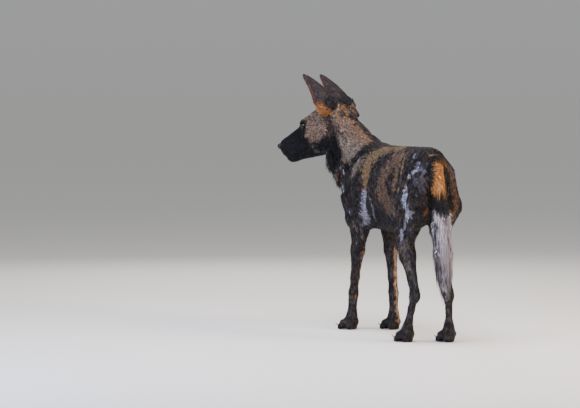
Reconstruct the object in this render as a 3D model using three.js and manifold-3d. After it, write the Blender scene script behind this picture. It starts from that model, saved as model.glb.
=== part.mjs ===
// An African wild dog, a slender young adult, standing and looking round to its left.
// Millimetres, +Z up. The dog's trunk points along -Y and its left side is +X.
import * as THREE from "three";
import { mergeVertices } from "three/addons/utils/BufferGeometryUtils.js";
import Module from "manifold-3d";

const wasm = await Module();
wasm.setup();

// Driving dimensions, over the coat.
const WITHERS = 603;
const TRUNK_FRONT = -312;
const TRUNK_BACK = 268;
const SPINE_BOW = 18;
const BOW_REACH = 270;
const HIP_OUT = 47;
const SHOULDER_OUT = 50;
const EYE_RADIUS = 11;
const EAR_HEIGHT = 167;
const EAR_WIDTH = 82;
const EAR_TURN = -17;
const TAIL_LENGTH = 350;
const LOCKS = 28;
const LOCK_STRAY = 1.7;
const LOCK_LENGTH = [72, 104];
const LOCK_WIDTH = 25;
const LOCK_DEPTH = 6;
const GAP = 0.3;

// Each part's grid, and how far its faces may stray when flat ones are joined.
const FACES = {
  trunk: { cell: 15, stray: 1.7 },
  neck: { cell: 14, stray: 1.4 },
  head: { cell: 8.4, stray: 1.5 },
  leg: { cell: 12.5, stray: 1.8 },
  paw: { cell: 7.4, stray: 1.2 },
  tail: { cell: 10, stray: 1.4 },
};

const clamp = (x, low, high) => Math.min(high, Math.max(low, x));
const mix = (a, b, t) => a + (b - a) * t;
const smoothstep = (t) => t * t * (3 - 2 * t);

// The midline bends gently to the left at both ends, as the dog looks round.
const midline = (y) => SPINE_BOW * (y / BOW_REACH) ** 2;

// Joins two distances with a fillet about as wide as k.
function blend(a, b, k) {
  const h = Math.max(k - Math.abs(a - b), 0) / k;
  return Math.min(a, b) - h * h * k * 0.25;
}

const blendAll = (distances, k) => distances.reduce((a, b) => blend(a, b, k));

// Distance from p to a rod that runs through points [x, y, z, radius].
function rod(p, points, k = 12) {
  const distances = [];
  for (let i = 1; i < points.length; i++) {
    const [a, b] = [points[i - 1], points[i]];
    const along = [b[0] - a[0], b[1] - a[1], b[2] - a[2]];
    const from = [p[0] - a[0], p[1] - a[1], p[2] - a[2]];
    const length2 = along[0] ** 2 + along[1] ** 2 + along[2] ** 2;
    const dot = from[0] * along[0] + from[1] * along[1] + from[2] * along[2];
    const t = clamp(dot / length2, 0, 1);
    const off = Math.hypot(from[0] - along[0] * t, from[1] - along[1] * t, from[2] - along[2] * t);
    distances.push(off - mix(a[3], b[3], t));
  }
  return blendAll(distances, k);
}

// Distance from p to an ellipsoid, exact enough near its surface.
function egg(p, centre, radii) {
  const q = [0, 1, 2].map((i) => (p[i] - centre[i]) / radii[i]);
  const k0 = Math.hypot(...q);
  const k1 = Math.hypot(q[0] / radii[0], q[1] / radii[1], q[2] / radii[2]);
  return k1 === 0 ? -Math.min(...radii) : (k0 * (k0 - 1)) / k1;
}

// Reads a table of sections at s, each section [s, value, value...], smoothly.
function sectionAt(table, s) {
  const last = table.length - 1;
  const at = clamp(s, table[0][0], table[last][0]);
  let i = 0;
  while (i < last - 1 && at > table[i + 1][0]) i++;
  const t = (at - table[i][0]) / (table[i + 1][0] - table[i][0]);
  const before = table[Math.max(i - 1, 0)];
  const after = table[Math.min(i + 2, last)];
  return table[i].map((a, c) => {
    const b = table[i + 1][c];
    const span = table[i + 1][0] - table[i][0];
    const slopeA = i > 0 ? ((b - before[c]) / (table[i + 1][0] - before[0])) * span : b - a;
    const slopeB = i < last - 1 ? ((after[c] - a) / (after[0] - table[i][0])) * span : b - a;
    const [t2, t3] = [t * t, t * t * t];
    return (2 * t3 - 3 * t2 + 1) * a + (t3 - 2 * t2 + t) * slopeA
      + (3 * t2 - 2 * t3) * b + (t3 - t2) * slopeB;
  });
}

// Distance to a body lofted through sections [s, top, widest, bottom, half width].
function loft(along, across, up, table, roundness = 2.2) {
  const [, top, widest, bottom, half] = sectionAt(table, along);
  const height = up > widest ? top - widest : widest - bottom;
  const q = (Math.abs(across / half) ** roundness + Math.abs((up - widest) / height) ** roundness)
    ** (1 / roundness);
  const radial = Math.hypot(across, up - widest);
  const side = q > 1e-6 ? radial * (1 - 1 / q) : -Math.min(half, height);
  const past = Math.max(table[0][0] - along, along - table[table.length - 1][0], 0);
  return past > 0 ? Math.hypot(past, Math.max(side, 0)) + Math.min(side, 0) * 0.1 : side;
}

// The trunk: deep narrow chest, level back and a belly that is hardly tucked up.
const TRUNK = [
  [TRUNK_FRONT, 462, 436, 408, 24],
  [-296, 500, 440, 378, 46],
  [-262, 556, 455, 350, 62],
  [-215, WITHERS - 7, 460, 335, 74],
  [-150, WITHERS - 3, 462, 326, 82],
  [-80, WITHERS - 2, 462, 325, 87],
  [-10, WITHERS - 2, 462, 331, 88],
  [60, WITHERS - 2, 468, 342, 83],
  [125, WITHERS - 2, 476, 362, 74],
  [185, WITHERS - 2, 486, 396, 66],
  [232, WITHERS - 12, 500, 440, 54],
  [TRUNK_BACK - 8, WITHERS - 36, 520, 478, 36],
  [TRUNK_BACK + 4, WITHERS - 56, 524, 496, 20],
];

const trunk = (p) => loft(p[1], p[0] - midline(p[1]), p[2], TRUNK);

// Joint centres of the legs. side is +1 on the left and -1 on the right.
const FORE = {
  left: { side: 1, elbow: [72, -218, 318], wrist: [75, -258, 122], foot: [77, -268, 44] },
  right: { side: -1, elbow: [-46, -244, 318], wrist: [-49, -220, 122], foot: [-49, -218, 44] },
};
const HIND = {
  left: { side: 1, knee: [71, 134, 345], hock: [76, 226, 152], foot: [78, 178, 46] },
  right: { side: -1, knee: [-45, 136, 345], hock: [-37, 228, 152], foot: [-40, 226, 46] },
};

function foreleg(p, leg) {
  const { side, elbow: e, wrist: w, foot: f } = leg;
  const point = [midline(-285) + side * SHOULDER_OUT, -278, 425];
  const blade = [midline(-205) + side * 30, -205, 560];
  const shoulder = rod(p, [[...blade, 24], [...point, 32], [e[0], e[1] + 6, e[2] + 22, 31]], 20);
  const arm = rod(p, [[...point, 30], [e[0] - side * 2, e[1] - 38, e[2] + 44, 28], [...e, 22]], 20);
  const triceps = rod(p, [
    [blade[0] + side * 26, -200, 470, 36],
    [e[0] - side * 6, e[1] + 16, e[2] + 44, 27],
    [e[0] - side * 2, e[1] + 25, e[2] + 5, 14],
  ], 14);
  const forearm = rod(p, [
    [e[0], e[1] + 2, e[2], 27],
    [mix(e[0], w[0], 0.3), mix(e[1], w[1], 0.3) + 1, mix(e[2], w[2], 0.3), 24],
    [mix(e[0], w[0], 0.75), mix(e[1], w[1], 0.75), mix(e[2], w[2], 0.75), 16.5],
    [...w, 17.5],
    [mix(w[0], f[0], 0.35), mix(w[1], f[1], 0.35), mix(w[2], f[2], 0.35), 16],
    [...f, 17.5],
  ], 10);
  const elbowPoint = rod(p, [[e[0], e[1] + 12, e[2] + 4, 15], [e[0], e[1] + 27, e[2] + 8, 10]]);
  return blendAll([shoulder, arm, triceps, forearm, elbowPoint], 16);
}

function hindleg(p, leg) {
  const { side, knee: k, hock: h, foot: f } = leg;
  const hip = [midline(195) + side * HIP_OUT, 192, 490];
  const seat = [midline(240) + side * 34, 240, 500];
  const thigh = rod(p, [
    [hip[0] - side * 6, hip[1] - 12, hip[2] + 20, 46],
    [mix(hip[0], k[0], 0.45), mix(hip[1], k[1], 0.45), mix(hip[2], k[2], 0.45), 45],
    [k[0], k[1] + 8, k[2] + 8, 31],
  ], 24);
  const hamstring = rod(p, [
    [...seat, 32],
    [mix(seat[0], k[0], 0.55) + side * 2, 226, 420, 38],
    [k[0] - side * 4, k[1] + 46, k[2] - 4, 25],
  ], 24);
  const gaskin = rod(p, [
    [k[0], k[1] + 8, k[2] - 6, 31],
    [mix(k[0], h[0], 0.4) + side * 4, mix(k[1], h[1], 0.4) + 4, mix(k[2], h[2], 0.4), 27],
    [mix(k[0], h[0], 0.78), mix(k[1], h[1], 0.78), mix(k[2], h[2], 0.78), 15.5],
    [h[0], h[1] - 2, h[2], 16],
  ], 14);
  const tendon = rod(p, [
    [mix(k[0], h[0], 0.45), mix(k[1], h[1], 0.45) + 22, mix(k[2], h[2], 0.45) + 10, 11],
    [h[0], h[1] + 15, h[2] + 14, 8.5],
  ]);
  const heel = rod(p, [[h[0], h[1] + 13, h[2] + 12, 10], [h[0], h[1] + 8, h[2] - 14, 12.5]]);
  const shank = rod(p, [
    [h[0], h[1], h[2] - 4, 16],
    [mix(h[0], f[0], 0.45), mix(h[1], f[1], 0.45), mix(h[2], f[2], 0.45), 13.5],
    [...f, 15.5],
  ], 8);
  return blendAll([thigh, hamstring, gaskin, tendon, heel, shank], 15);
}

// A paw has four toes and no dewclaw. Its frame: ahead along the foot, out to the left, up.
const PAWS = {
  fore_left: { at: FORE.left.foot, yaw: 8, width: 1.08 },
  fore_right: { at: FORE.right.foot, yaw: 4, width: 1.08 },
  hind_left: { at: HIND.left.foot, yaw: 3, width: 0.96 },
  hind_right: { at: HIND.right.foot, yaw: -2, width: 0.96 },
};
const TOES = [
  { out: -21, reach: 30, yaw: -9 },
  { out: -7.5, reach: 39, yaw: -2 },
  { out: 7.5, reach: 39, yaw: 2 },
  { out: 21, reach: 30, yaw: 9 },
];

const radians = (degrees) => (degrees * Math.PI) / 180;

// The place of a point given in a paw's own frame.
function onPaw(paw, ahead, out, up) {
  const [s, c] = [Math.sin(radians(paw.yaw)), Math.cos(radians(paw.yaw))];
  const wide = out * paw.width;
  return [paw.at[0] + ahead * s + wide * c, paw.at[1] - ahead * c + wide * s, up];
}

function pawDistance(p, paw) {
  const ankle = rod(p, [[...paw.at, 16], [...onPaw(paw, 8, 0, 30), 17]]);
  const palm = blend(
    rod(p, [[...onPaw(paw, 2, -11, 27), 13], [...onPaw(paw, 2, 11, 27), 13]]),
    rod(p, [[...onPaw(paw, -1, -7, 10), 11.5], [...onPaw(paw, -1, 7, 10), 11.5]]),
    8,
  );
  const toes = TOES.map(({ out, reach, yaw }) => rod(p, [
    [...onPaw(paw, 6, out * 0.82, 27), 9.5],
    [...onPaw(paw, reach - 14, out + yaw * 0.1, 26), 9.6],
    [...onPaw(paw, reach, out + yaw * 0.25, 10.5), 8.8],
    [...onPaw(paw, reach + 3, out + yaw * 0.25, 8), 8.6],
  ], 6));
  return blend(blendAll([ankle, palm], 14), blendAll(toes, 3.5), 6);
}

// The head's own frame: the face looks along +ahead, which is turned left and tipped down.
const HEAD = { at: [56, -455, 652], yaw: 40, pitch: 26 };
const headTurn = new THREE.Matrix4()
  .makeRotationZ(radians(HEAD.yaw))
  .multiply(new THREE.Matrix4().makeRotationX(radians(HEAD.pitch)))
  .setPosition(...HEAD.at);
const headBack = headTurn.clone().invert();

// A point of the head as [left, ahead, up] becomes a place on the dog, and back.
const onHead = (left, ahead, up) => new THREE.Vector3(left, -ahead, up).applyMatrix4(headTurn).toArray();
function inHead(p) {
  const q = new THREE.Vector3(...p).applyMatrix4(headBack);
  return [q.x, -q.y, q.z];
}

// Sections of the head from the nape to the nose: [ahead, top, widest, bottom, half width].
const SKULL = [
  [-58, 42, 2, -40, 34],
  [-30, 70, 12, -62, 54],
  [5, 84, 18, -68, 63],
  [40, 84, 20, -67, 65],
  [72, 76, 14, -63, 58],
  [98, 67, 8, -57, 46],
  [122, 60, 4, -50, 36],
  [150, 56, 4, -42, 31],
  [176, 53, 8, -31, 28.5],
  [194, 49, 12, -14, 24],
  [206, 43, 18, 0, 17],
];
const EYE = [34, 90, 48];
const NOSE = { at: [0, 205, 34], radii: [15, 12, 12] };
const MOUTH_CORNER = [33, 106, -20];

function head(p) {
  const [left, ahead, up] = inHead(p);
  const q = [Math.abs(left), ahead, up];
  const skull = loft(ahead, left, up, SKULL, 2.15);
  const brow = egg(q, [25, 84, 63], [16, 20, 9]);
  const cheek = egg(q, [48, 62, 14], [17, 34, 20]);
  const jaw = egg(q, [40, 40, -36], [24, 40, 26]);
  const flews = egg(q, [21, 158, -14], [12, 38, 15]);
  const chin = egg(q, [6, 176, -27], [15, 17, 10]);
  const earBulb = egg(q, [48, -14, 56], [22, 32, 30]);
  const socket = egg(q, [EYE[0] + 7, EYE[1] + 5, EYE[2]], [12, 13, 9]);
  const built = blendAll([skull, brow, cheek, jaw, flews, chin, earBulb], 14);
  return -blend(-built, socket, 7);
}

// The neck runs in two strands, the nape above and the throat below.
function neck(p) {
  const nape = rod(p, [
    [...onHead(0, -18, 24), 53],
    [34, -368, 613, 55],
    [20, -290, 570, 58],
    [8, -215, 535, 62],
  ], 20);
  const throat = rod(p, [
    [...onHead(0, 6, -26), 43],
    [47, -402, 553, 53],
    [33, -344, 503, 58],
    [18, -288, 446, 58],
  ], 20);
  return blend(nape, throat, 40);
}

// The tail hangs from the croup with a slight swing, its brush fullest below the middle.
function tailPoint(t) {
  const y = TRUNK_BACK - 4 + 32 * Math.sin(Math.min(t * 2.4, 1) * Math.PI * 0.5) - 6 * t;
  return [midline(TRUNK_BACK) + 4 - 6 * t - 10 * t * t, y, WITHERS - 44 - TAIL_LENGTH * t];
}
const TAIL_CORE = [[0, 25], [0.14, 19], [0.4, 19], [0.6, 20], [0.85, 14], [1, 5]];
const TAIL_STEPS = 14;

function tail(p) {
  const points = [...Array(TAIL_STEPS + 1).keys()].map((i) => {
    const t = i / TAIL_STEPS;
    return [...tailPoint(t), sectionAt(TAIL_CORE, t)[1]];
  });
  return rod(p, points, 6);
}

// Away from its box a part's distance is only the distance to the box, which saves work.
const FAR = 45;
function within(low, high, part) {
  return (p) => {
    const far = Math.hypot(...p.map((x, a) => Math.max(low[a] - x, 0, x - high[a])));
    return far > FAR ? far : part(p);
  };
}

// Everything that is flesh, as one skin, in the order in which the parts are joined.
const FLESH = [
  [0, within([-110, -320, 315], [130, 290, 605], trunk)],
  [26, within([0, -330, 30], [120, -150, 590], (p) => foreleg(p, FORE.left))],
  [26, within([-90, -330, 30], [40, -150, 590], (p) => foreleg(p, FORE.right))],
  [26, within([0, 80, 30], [130, 290, 570], (p) => hindleg(p, HIND.left))],
  [26, within([-110, 80, 30], [40, 290, 570], (p) => hindleg(p, HIND.right))],
  [44, within([-80, -530, 380], [150, -150, 740], neck)],
  [22, within([-30, -680, 550], [240, -380, 800], head)],
  ...Object.values(PAWS).map((paw) => [10, within(
    [paw.at[0] - 40, paw.at[1] - 62, -10], [paw.at[0] + 40, paw.at[1] + 32, 60],
    (p) => pawDistance(p, paw),
  )]),
  [18, within([-30, 240, 180], [60, 330, 590], tail)],
];

const skinOf = (parts) => (p) => parts.reduce((d, [k, part]) => (k ? blend(d, part(p), k) : part(p)), 0);
const flesh = skinOf(FLESH);
const tailless = skinOf(FLESH.slice(0, -1));
const grown = (skin, by) => (p) => skin(p) - by;

// Surface nets: one corner in each grid cell that the skin crosses, then moved onto the skin.
function polygonise(distance, low, high, { cell, stray }) {
  const count = [0, 1, 2].map((a) => Math.ceil((high[a] - low[a]) / cell) + 1);
  const at = (i, j, k) => [low[0] + i * cell, low[1] + j * cell, low[2] + k * cell];
  const index = (i, j, k) => (k * count[1] + j) * count[0] + i;
  const values = new Float64Array(count[0] * count[1] * count[2]);
  for (let k = 0; k < count[2]; k++) {
    for (let j = 0; j < count[1]; j++) {
      for (let i = 0; i < count[0]; i++) {
        const rim = [i, j, k].some((n, a) => n === 0 || n === count[a] - 1);
        const d = distance(at(i, j, k));
        values[index(i, j, k)] = rim ? Math.max(d, cell * 0.3) : d;
      }
    }
  }
  const corners = [];
  const cornerOf = new Map();
  const cornerAt = (i, j, k) => {
    const key = index(i, j, k);
    if (!cornerOf.has(key)) {
      cornerOf.set(key, corners.length / 3);
      corners.push(...settle(distance, crossing(i, j, k), cell));
    }
    return cornerOf.get(key);
  };
  // The mean of the places where the cell's edges cross the skin.
  function crossing(i, j, k) {
    const sum = [0, 0, 0];
    let crossings = 0;
    for (let a = 0; a < 3; a++) {
      for (let n = 0; n < 4; n++) {
        const start = [i, j, k];
        start[(a + 1) % 3] += n & 1;
        start[(a + 2) % 3] += n >> 1;
        const end = [...start];
        end[a] += 1;
        const [v0, v1] = [values[index(...start)], values[index(...end)]];
        if (v0 < 0 === v1 < 0) continue;
        const p = at(...start);
        p[a] += (cell * v0) / (v0 - v1);
        p.forEach((x, c) => { sum[c] += x; });
        crossings++;
      }
    }
    return sum.map((x) => x / crossings);
  }
  const faces = [];
  const addQuad = (a, b, c, d) => {
    const gap = (m, n) => Math.hypot(...[0, 1, 2].map((x) => corners[m * 3 + x] - corners[n * 3 + x]));
    if (gap(a, c) < gap(b, d)) faces.push(a, b, c, a, c, d);
    else faces.push(b, c, d, b, d, a);
  };
  for (let k = 0; k < count[2] - 1; k++) {
    for (let j = 0; j < count[1] - 1; j++) {
      for (let i = 0; i < count[0] - 1; i++) {
        for (let a = 0; a < 3; a++) {
          const end = [i, j, k];
          end[a] += 1;
          const [v0, v1] = [values[index(i, j, k)], values[index(...end)]];
          if (v0 < 0 === v1 < 0) continue;
          const round = [[0, 0], [1, 0], [1, 1], [0, 1]].map(([m, n]) => {
            const c = [i, j, k];
            c[(a + 1) % 3] -= m;
            c[(a + 2) % 3] -= n;
            return cornerAt(...c);
          });
          if (v0 < 0) addQuad(...round);
          else addQuad(...round.reverse());
        }
      }
    }
  }
  return solid(new Float32Array(corners), new Uint32Array(faces)).simplify(stray);
}

// Moves a point onto the surface by a few steps down the slope, and at most half a cell.
function settle(distance, start, cell) {
  const h = 0.05;
  let p = [...start];
  for (let step = 0; step < 3; step++) {
    const d = distance(p);
    const slope = [0, 1, 2].map((a) => {
      const q = [...p];
      q[a] += h;
      return (distance(q) - d) / h;
    });
    const steep = Math.max(slope[0] ** 2 + slope[1] ** 2 + slope[2] ** 2, 0.2);
    p = p.map((x, a) => clamp(x - (d * slope[a]) / steep, start[a] - cell / 2, start[a] + cell / 2));
  }
  return p;
}

const solid = (vertProperties, triVerts) =>
  new wasm.Manifold(new wasm.Mesh({ numProp: 3, vertProperties, triVerts }));

// A three.js geometry as a solid, placed by a matrix.
function solidOf(geometry, matrix = new THREE.Matrix4()) {
  const bare = new THREE.BufferGeometry().setAttribute("position", geometry.getAttribute("position").clone());
  if (geometry.index) bare.setIndex(geometry.index.clone());
  const merged = mergeVertices(bare.applyMatrix4(matrix), 1e-4);
  return solid(new Float32Array(merged.attributes.position.array), new Uint32Array(merged.index.array));
}

const placed = (position, turn = [0, 0, 0], scale = [1, 1, 1]) =>
  new THREE.Matrix4().compose(
    new THREE.Vector3(...position),
    new THREE.Quaternion().setFromEuler(new THREE.Euler(...turn.map(radians))),
    new THREE.Vector3(...scale),
  );

// The largest closed piece of a solid.
const whole = (s) => s.decompose().reduce((a, b) => (b.volume() > a.volume() ? b : a));

// Cuts a solid by planes, each [[a point], [the way that is kept]], pushed in or out by slack.
const keepSide = (s, planes, slack = 0) => planes.reduce((cut, [point, normal]) => {
  const n = new THREE.Vector3(...normal).normalize();
  return cut.trimByPlane(n.toArray(), n.dot(new THREE.Vector3(...point)) + slack);
}, s);

const bigBlock = solidOf(new THREE.BoxGeometry(3000, 3000, 3000));
const wedge = (planes) => keepSide(bigBlock, planes, -GAP);

// Where the dog is parted. Each list of planes holds one part.
const CUTS = {
  neck: [[[24, -292, 520], [0.16, -0.86, 0.48]]],
  tail: [[[midline(TRUNK_BACK), TRUNK_BACK - 8, 560], [0, 0.8, -0.6]]],
  head: [[onHead(0, -30, 0), onHead(-0.25, 0.87, 0.43).map((x, i) => x - onHead(0, 0, 0)[i])]],
};
const legPlanes = (side, middle, [out, fork], front, back) => [
  [[middle + side * GAP, 0, 0], [side, 0, 0]],
  [[middle + side * out, 0, fork], [side * 0.8, 0, -0.6]],
  [[0, front, 360], [0, 0.93, -0.36]],
  [[0, back, 360], [0, -0.93, -0.36]],
];
const FORE_PLANES = (side) => legPlanes(side, midline(-240), [26, 342], -330, -178);
const HIND_PLANES = (side) => legPlanes(side, midline(200), [10, 400], 60, 330);
const pawPlane = (paw) => [[paw.at[0], paw.at[1], paw.at[2] + 4], [0, 0, -1]];
const above = ([point, normal]) => [point, normal.map((x) => -x)];

const FLOOR = [[0, 0, 0], [0, 0, 1]];
const SOLE_DROP = 1.2;

// Colours and finishes.
const finish = (color, roughness, metalness = 0) =>
  new THREE.MeshStandardMaterial({ color, roughness, metalness });
const COAT = finish(0x2b2522, 0.85);
const TAN_COAT = finish(0x8a6a48, 0.85);
const MASK_COAT = finish(0x151316, 0.8);
const BRUSH = finish(0xcfc4bd, 0.9);
const NOSE_LEATHER = finish(0x0c0c0e, 0.35);
const EYE_GLOSS = finish(0x2a1608, 0.08);
const CLAW_HORN = finish(0x1d1916, 0.4);

const dog = new THREE.Group();
const body = new THREE.Group();
dog.add(body);

function addNode(name, made, material) {
  const { vertProperties, triVerts } = whole(made).simplify(0.15).getMesh();
  const geometry = new THREE.BufferGeometry()
    .setAttribute("position", new THREE.BufferAttribute(new Float32Array(vertProperties), 3))
    .setIndex(new THREE.BufferAttribute(new Uint32Array(triVerts), 1));
  geometry.computeVertexNormals();
  const mesh = new THREE.Mesh(geometry, material);
  mesh.name = name;
  body.add(mesh);
}

// The tail's share of the skin lies in a sleeve round its core, from the croup to its end.
const TAIL_BOX = [[-50, 215, 140], [85, 350, 620]];
const SLEEVE = 9;
const tailShare = (grow) => (p) => Math.max(flesh(p) - 4 * grow, tail(p) - SLEEVE - grow);
const tailPart = (grow) => keepSide(
  polygonise(tailShare(grow), ...TAIL_BOX, FACES.tail), CUTS.tail, -grow / 2,
);
const tailCutter = tailPart(9 * GAP);

// Trunk, with its shoulders and haunches, cut clear of all that grows from it.
const trunkSkin = polygonise(flesh, [-110, -350, 300], [135, 310, 620], FACES.trunk);
const offTrunk = [
  tailCutter, wedge(CUTS.neck),
  wedge(FORE_PLANES(1)), wedge(FORE_PLANES(-1)), wedge(HIND_PLANES(1)), wedge(HIND_PLANES(-1)),
];
addNode("torso", offTrunk.reduce((s, w) => s.subtract(w), trunkSkin), COAT);

// Neck.
const NECK_BOX = [[-75, -520, 370], [140, -200, 745]];
const neckSkin = polygonise(flesh, ...NECK_BOX, FACES.neck);
addNode("neck", keepSide(keepSide(neckSkin, CUTS.neck), CUTS.head.map(above), GAP), TAN_COAT);

// Head, with its eye sockets, lids and the line of the mouth.
const HEAD_BOX = [[-60, -690, 520], [260, -360, 800]];
const sides = [["left", 1], ["right", -1]];
const eyeAt = (side) => onHead(side * EYE[0], EYE[1], EYE[2]);
const headSkin = keepSide(polygonise(flesh, ...HEAD_BOX, FACES.head), CUTS.head);

// The lids are an almond ring that stands round each eye.
function lids(side) {
  const ring = new THREE.TorusGeometry(EYE_RADIUS - 0.5, 3, 6, 18);
  const turn = headTurn.clone()
    .multiply(placed([side * (EYE[0] + 3.5), -(EYE[1] + 4.5), EYE[2] + 0.5], [90, 0, side * 42]))
    .multiply(placed([0, 0, 0], [0, 0, side * -16], [1.06, 0.78, 1]));
  return solidOf(ring, turn);
}

// The mouth's line runs under the nose and back along each lip to the corner.
function mouthGroove() {
  const line = [];
  const reach = 12;
  for (let i = -reach; i <= reach; i++) {
    const t = Math.abs(i) / reach;
    const ahead = mix(204, MOUTH_CORNER[1], t ** 1.7);
    const up = -2 - 22 * smoothstep(clamp(t * 1.25, 0, 1)) + 4 * smoothstep(clamp(t * 4 - 3, 0, 1));
    const [, , , , half] = sectionAt(SKULL, ahead);
    const start = onHead(Math.sign(i) * Math.min(half + 2, 60 * t), ahead, up);
    line.push(new THREE.Vector3(...settle(flesh, start, 60)));
  }
  const section = new THREE.Shape();
  section.absellipse(0, 0, 2.1, 2.1, 0, Math.PI * 2);
  const path = new THREE.CatmullRomCurve3(line);
  return solidOf(new THREE.ExtrudeGeometry(section, {
    steps: 44, curveSegments: 3, bevelEnabled: false, extrudePath: path,
  }));
}

const ball = (radius, detail) => new THREE.IcosahedronGeometry(radius, detail);
const noseBall = (grow) => solidOf(
  new THREE.SphereGeometry(1, 12, 8),
  headTurn.clone().multiply(placed(
    [NOSE.at[0], -NOSE.at[1], NOSE.at[2]], [-14, 0, 0], NOSE.radii.map((r) => r + grow),
  )),
);
let headMade = sides.reduce((s, [, side]) => s.add(lids(side)), headSkin);
headMade = sides.reduce(
  (s, [, side]) => s.subtract(solidOf(ball(EYE_RADIUS + GAP, 2), placed(eyeAt(side)))),
  headMade,
);
headMade = headMade.subtract(mouthGroove()).subtract(noseBall(GAP));
addNode("head", headMade, MASK_COAT);

// Nose leather with its two nostrils.
const nostrils = sides.map(([, side]) => solidOf(
  ball(1, 1),
  headTurn.clone().multiply(placed([side * 7, -216, 36], [0, side * -30, side * 28], [3.6, 5.5, 2.8])),
));
addNode("nose", nostrils.reduce((s, n) => s.subtract(n), noseBall(0)), NOSE_LEATHER);

for (const [name, side] of sides) {
  addNode(`${name}_eye`, solidOf(ball(EYE_RADIUS, 2), placed(eyeAt(side))), EYE_GLOSS);
}

// An ear is a tall rounded cup of thin gristle, rolled nearly into a tube at its root.
const EAR_ROWS = 11;
const EAR_COLUMNS = 8;
const EAR_PROFILE = [[0, 0.62], [0.15, 0.82], [0.38, 0.92], [0.6, 0.75], [0.8, 0.48], [0.93, 0.26], [1, 0.05]];
const EAR_WRAP = [[0, 118], [0.3, 96], [0.6, 58], [1, 34]];
function earPoint(t, s, face) {
  const half = (EAR_WIDTH / 2) * sectionAt(EAR_PROFILE, t)[1];
  const wrap = radians(sectionAt(EAR_WRAP, t)[1]);
  const spread = half / Math.max(Math.sin(wrap), Math.sin(Math.min(wrap, 1.4)));
  const radius = spread + face * mix(2.6, 1.3, t);
  const angle = -s * wrap;
  return [
    radius * Math.sin(angle),
    radius * Math.cos(angle) - spread * 0.9 - 24 * t * t,
    t * EAR_HEIGHT,
  ];
}
function earGeometry() {
  const positions = [];
  for (const face of [1, -1]) {
    for (let i = 0; i <= EAR_ROWS; i++) {
      for (let j = 0; j <= EAR_COLUMNS; j++) {
        positions.push(...earPoint(i / EAR_ROWS, (j / EAR_COLUMNS) * 2 - 1, face));
      }
    }
  }
  const row = EAR_COLUMNS + 1;
  const back = (EAR_ROWS + 1) * row;
  const faces = [];
  const quad = (a, b, c, d) => faces.push(a, b, c, a, c, d);
  for (let i = 0; i < EAR_ROWS; i++) {
    for (let j = 0; j < EAR_COLUMNS; j++) {
      const a = i * row + j;
      quad(a, a + 1, a + row + 1, a + row);
      quad(back + a + 1, back + a, back + a + row, back + a + row + 1);
    }
    const [first, last] = [i * row, i * row + EAR_COLUMNS];
    quad(back + first, first, first + row, back + first + row);
    quad(last, back + last, back + last + row, last + row);
  }
  for (let j = 0; j < EAR_COLUMNS; j++) {
    const top = EAR_ROWS * row + j;
    quad(j + 1, j, back + j, back + j + 1);
    quad(top, top + 1, back + top + 1, back + top);
  }
  return new THREE.BufferGeometry()
    .setAttribute("position", new THREE.Float32BufferAttribute(positions, 3))
    .setIndex(faces);
}

const headCutter = polygonise(grown(flesh, 3 * GAP), ...HEAD_BOX, FACES.head);
const neckCutter = polygonise(grown(flesh, 8 * GAP), ...NECK_BOX, FACES.neck);
for (const [name, side] of sides) {
  const root = placed([side * 51, 61, 44], [16, side * 3, EAR_TURN]);
  const mirror = placed([0, 0, 0], [0, 0, 0], [side, 1, 1]);
  let ear = solidOf(earGeometry());
  if (side < 0) ear = ear.mirror([1, 0, 0]);
  const turned = ear.transform(headTurn.clone().multiply(root).toArray());
  addNode(`${name}_ear`, turned.subtract(headCutter).subtract(neckCutter), COAT);
}

// Legs, each from the shoulder or haunch down to its paw.
const LEGS = {
  fore_left: { planes: FORE_PLANES(1), box: [[5, -335, 30], [125, -150, 500]] },
  fore_right: { planes: FORE_PLANES(-1), box: [[-100, -335, 30], [15, -150, 500]] },
  hind_left: { planes: HIND_PLANES(1), box: [[15, 50, 30], [135, 290, 560]] },
  hind_right: { planes: HIND_PLANES(-1), box: [[-110, 50, 30], [15, 290, 560]] },
};
for (const [name, { planes, box }] of Object.entries(LEGS)) {
  const skin = polygonise(tailless, ...box, FACES.leg);
  const cut = keepSide(skin, [...planes, above(pawPlane(PAWS[name]))]);
  addNode(`${name}_leg`, cut.subtract(tailCutter), COAT);
}

// Paws, each with four toes, flat soles and a claw on every toe.
for (const [name, paw] of Object.entries(PAWS)) {
  const low = [paw.at[0] - 48, paw.at[1] - 66, -14];
  const high = [paw.at[0] + 48, paw.at[1] + 40, 62];
  const sunk = (p) => flesh([p[0], p[1], p[2] + SOLE_DROP]);
  const skin = polygonise(sunk, low, high, FACES.paw);
  addNode(`${name}_paw`, keepSide(keepSide(skin, [pawPlane(paw)], GAP), [FLOOR]), COAT);
  const cutter = polygonise(grown(sunk, 3 * GAP), low, high, FACES.paw);
  TOES.forEach(({ out, reach, yaw }, i) => {
    const from = onPaw(paw, reach + 4, out + yaw * 0.25, 12.5);
    const claw = clawGeometry(paw, from, yaw + paw.yaw);
    addNode(`${name}_claw_${i + 1}`, claw.subtract(cutter), CLAW_HORN);
  });
}

// A claw is a blunt cone, bent down towards its tip.
function clawGeometry(paw, from, yaw) {
  const [length, root, tip] = [21, 3.3, 1.1];
  const cone = new THREE.CylinderGeometry(tip, root, length, 6, 2);
  const position = cone.getAttribute("position");
  for (let i = 0; i < position.count; i++) {
    const t = position.getY(i) / length + 0.5;
    position.setZ(i, position.getZ(i) - 6 * t * t);
  }
  const turn = placed(from, [0, 0, yaw]).multiply(placed([0, -length / 2, 0], [180, 0, 0]));
  return solidOf(cone, turn);
}

// Seeded numbers from 0 to 1, the same at each build.
let seed = 11;
function random() {
  seed = (seed * 16807) % 2147483647;
  return seed / 2147483647;
}

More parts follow.
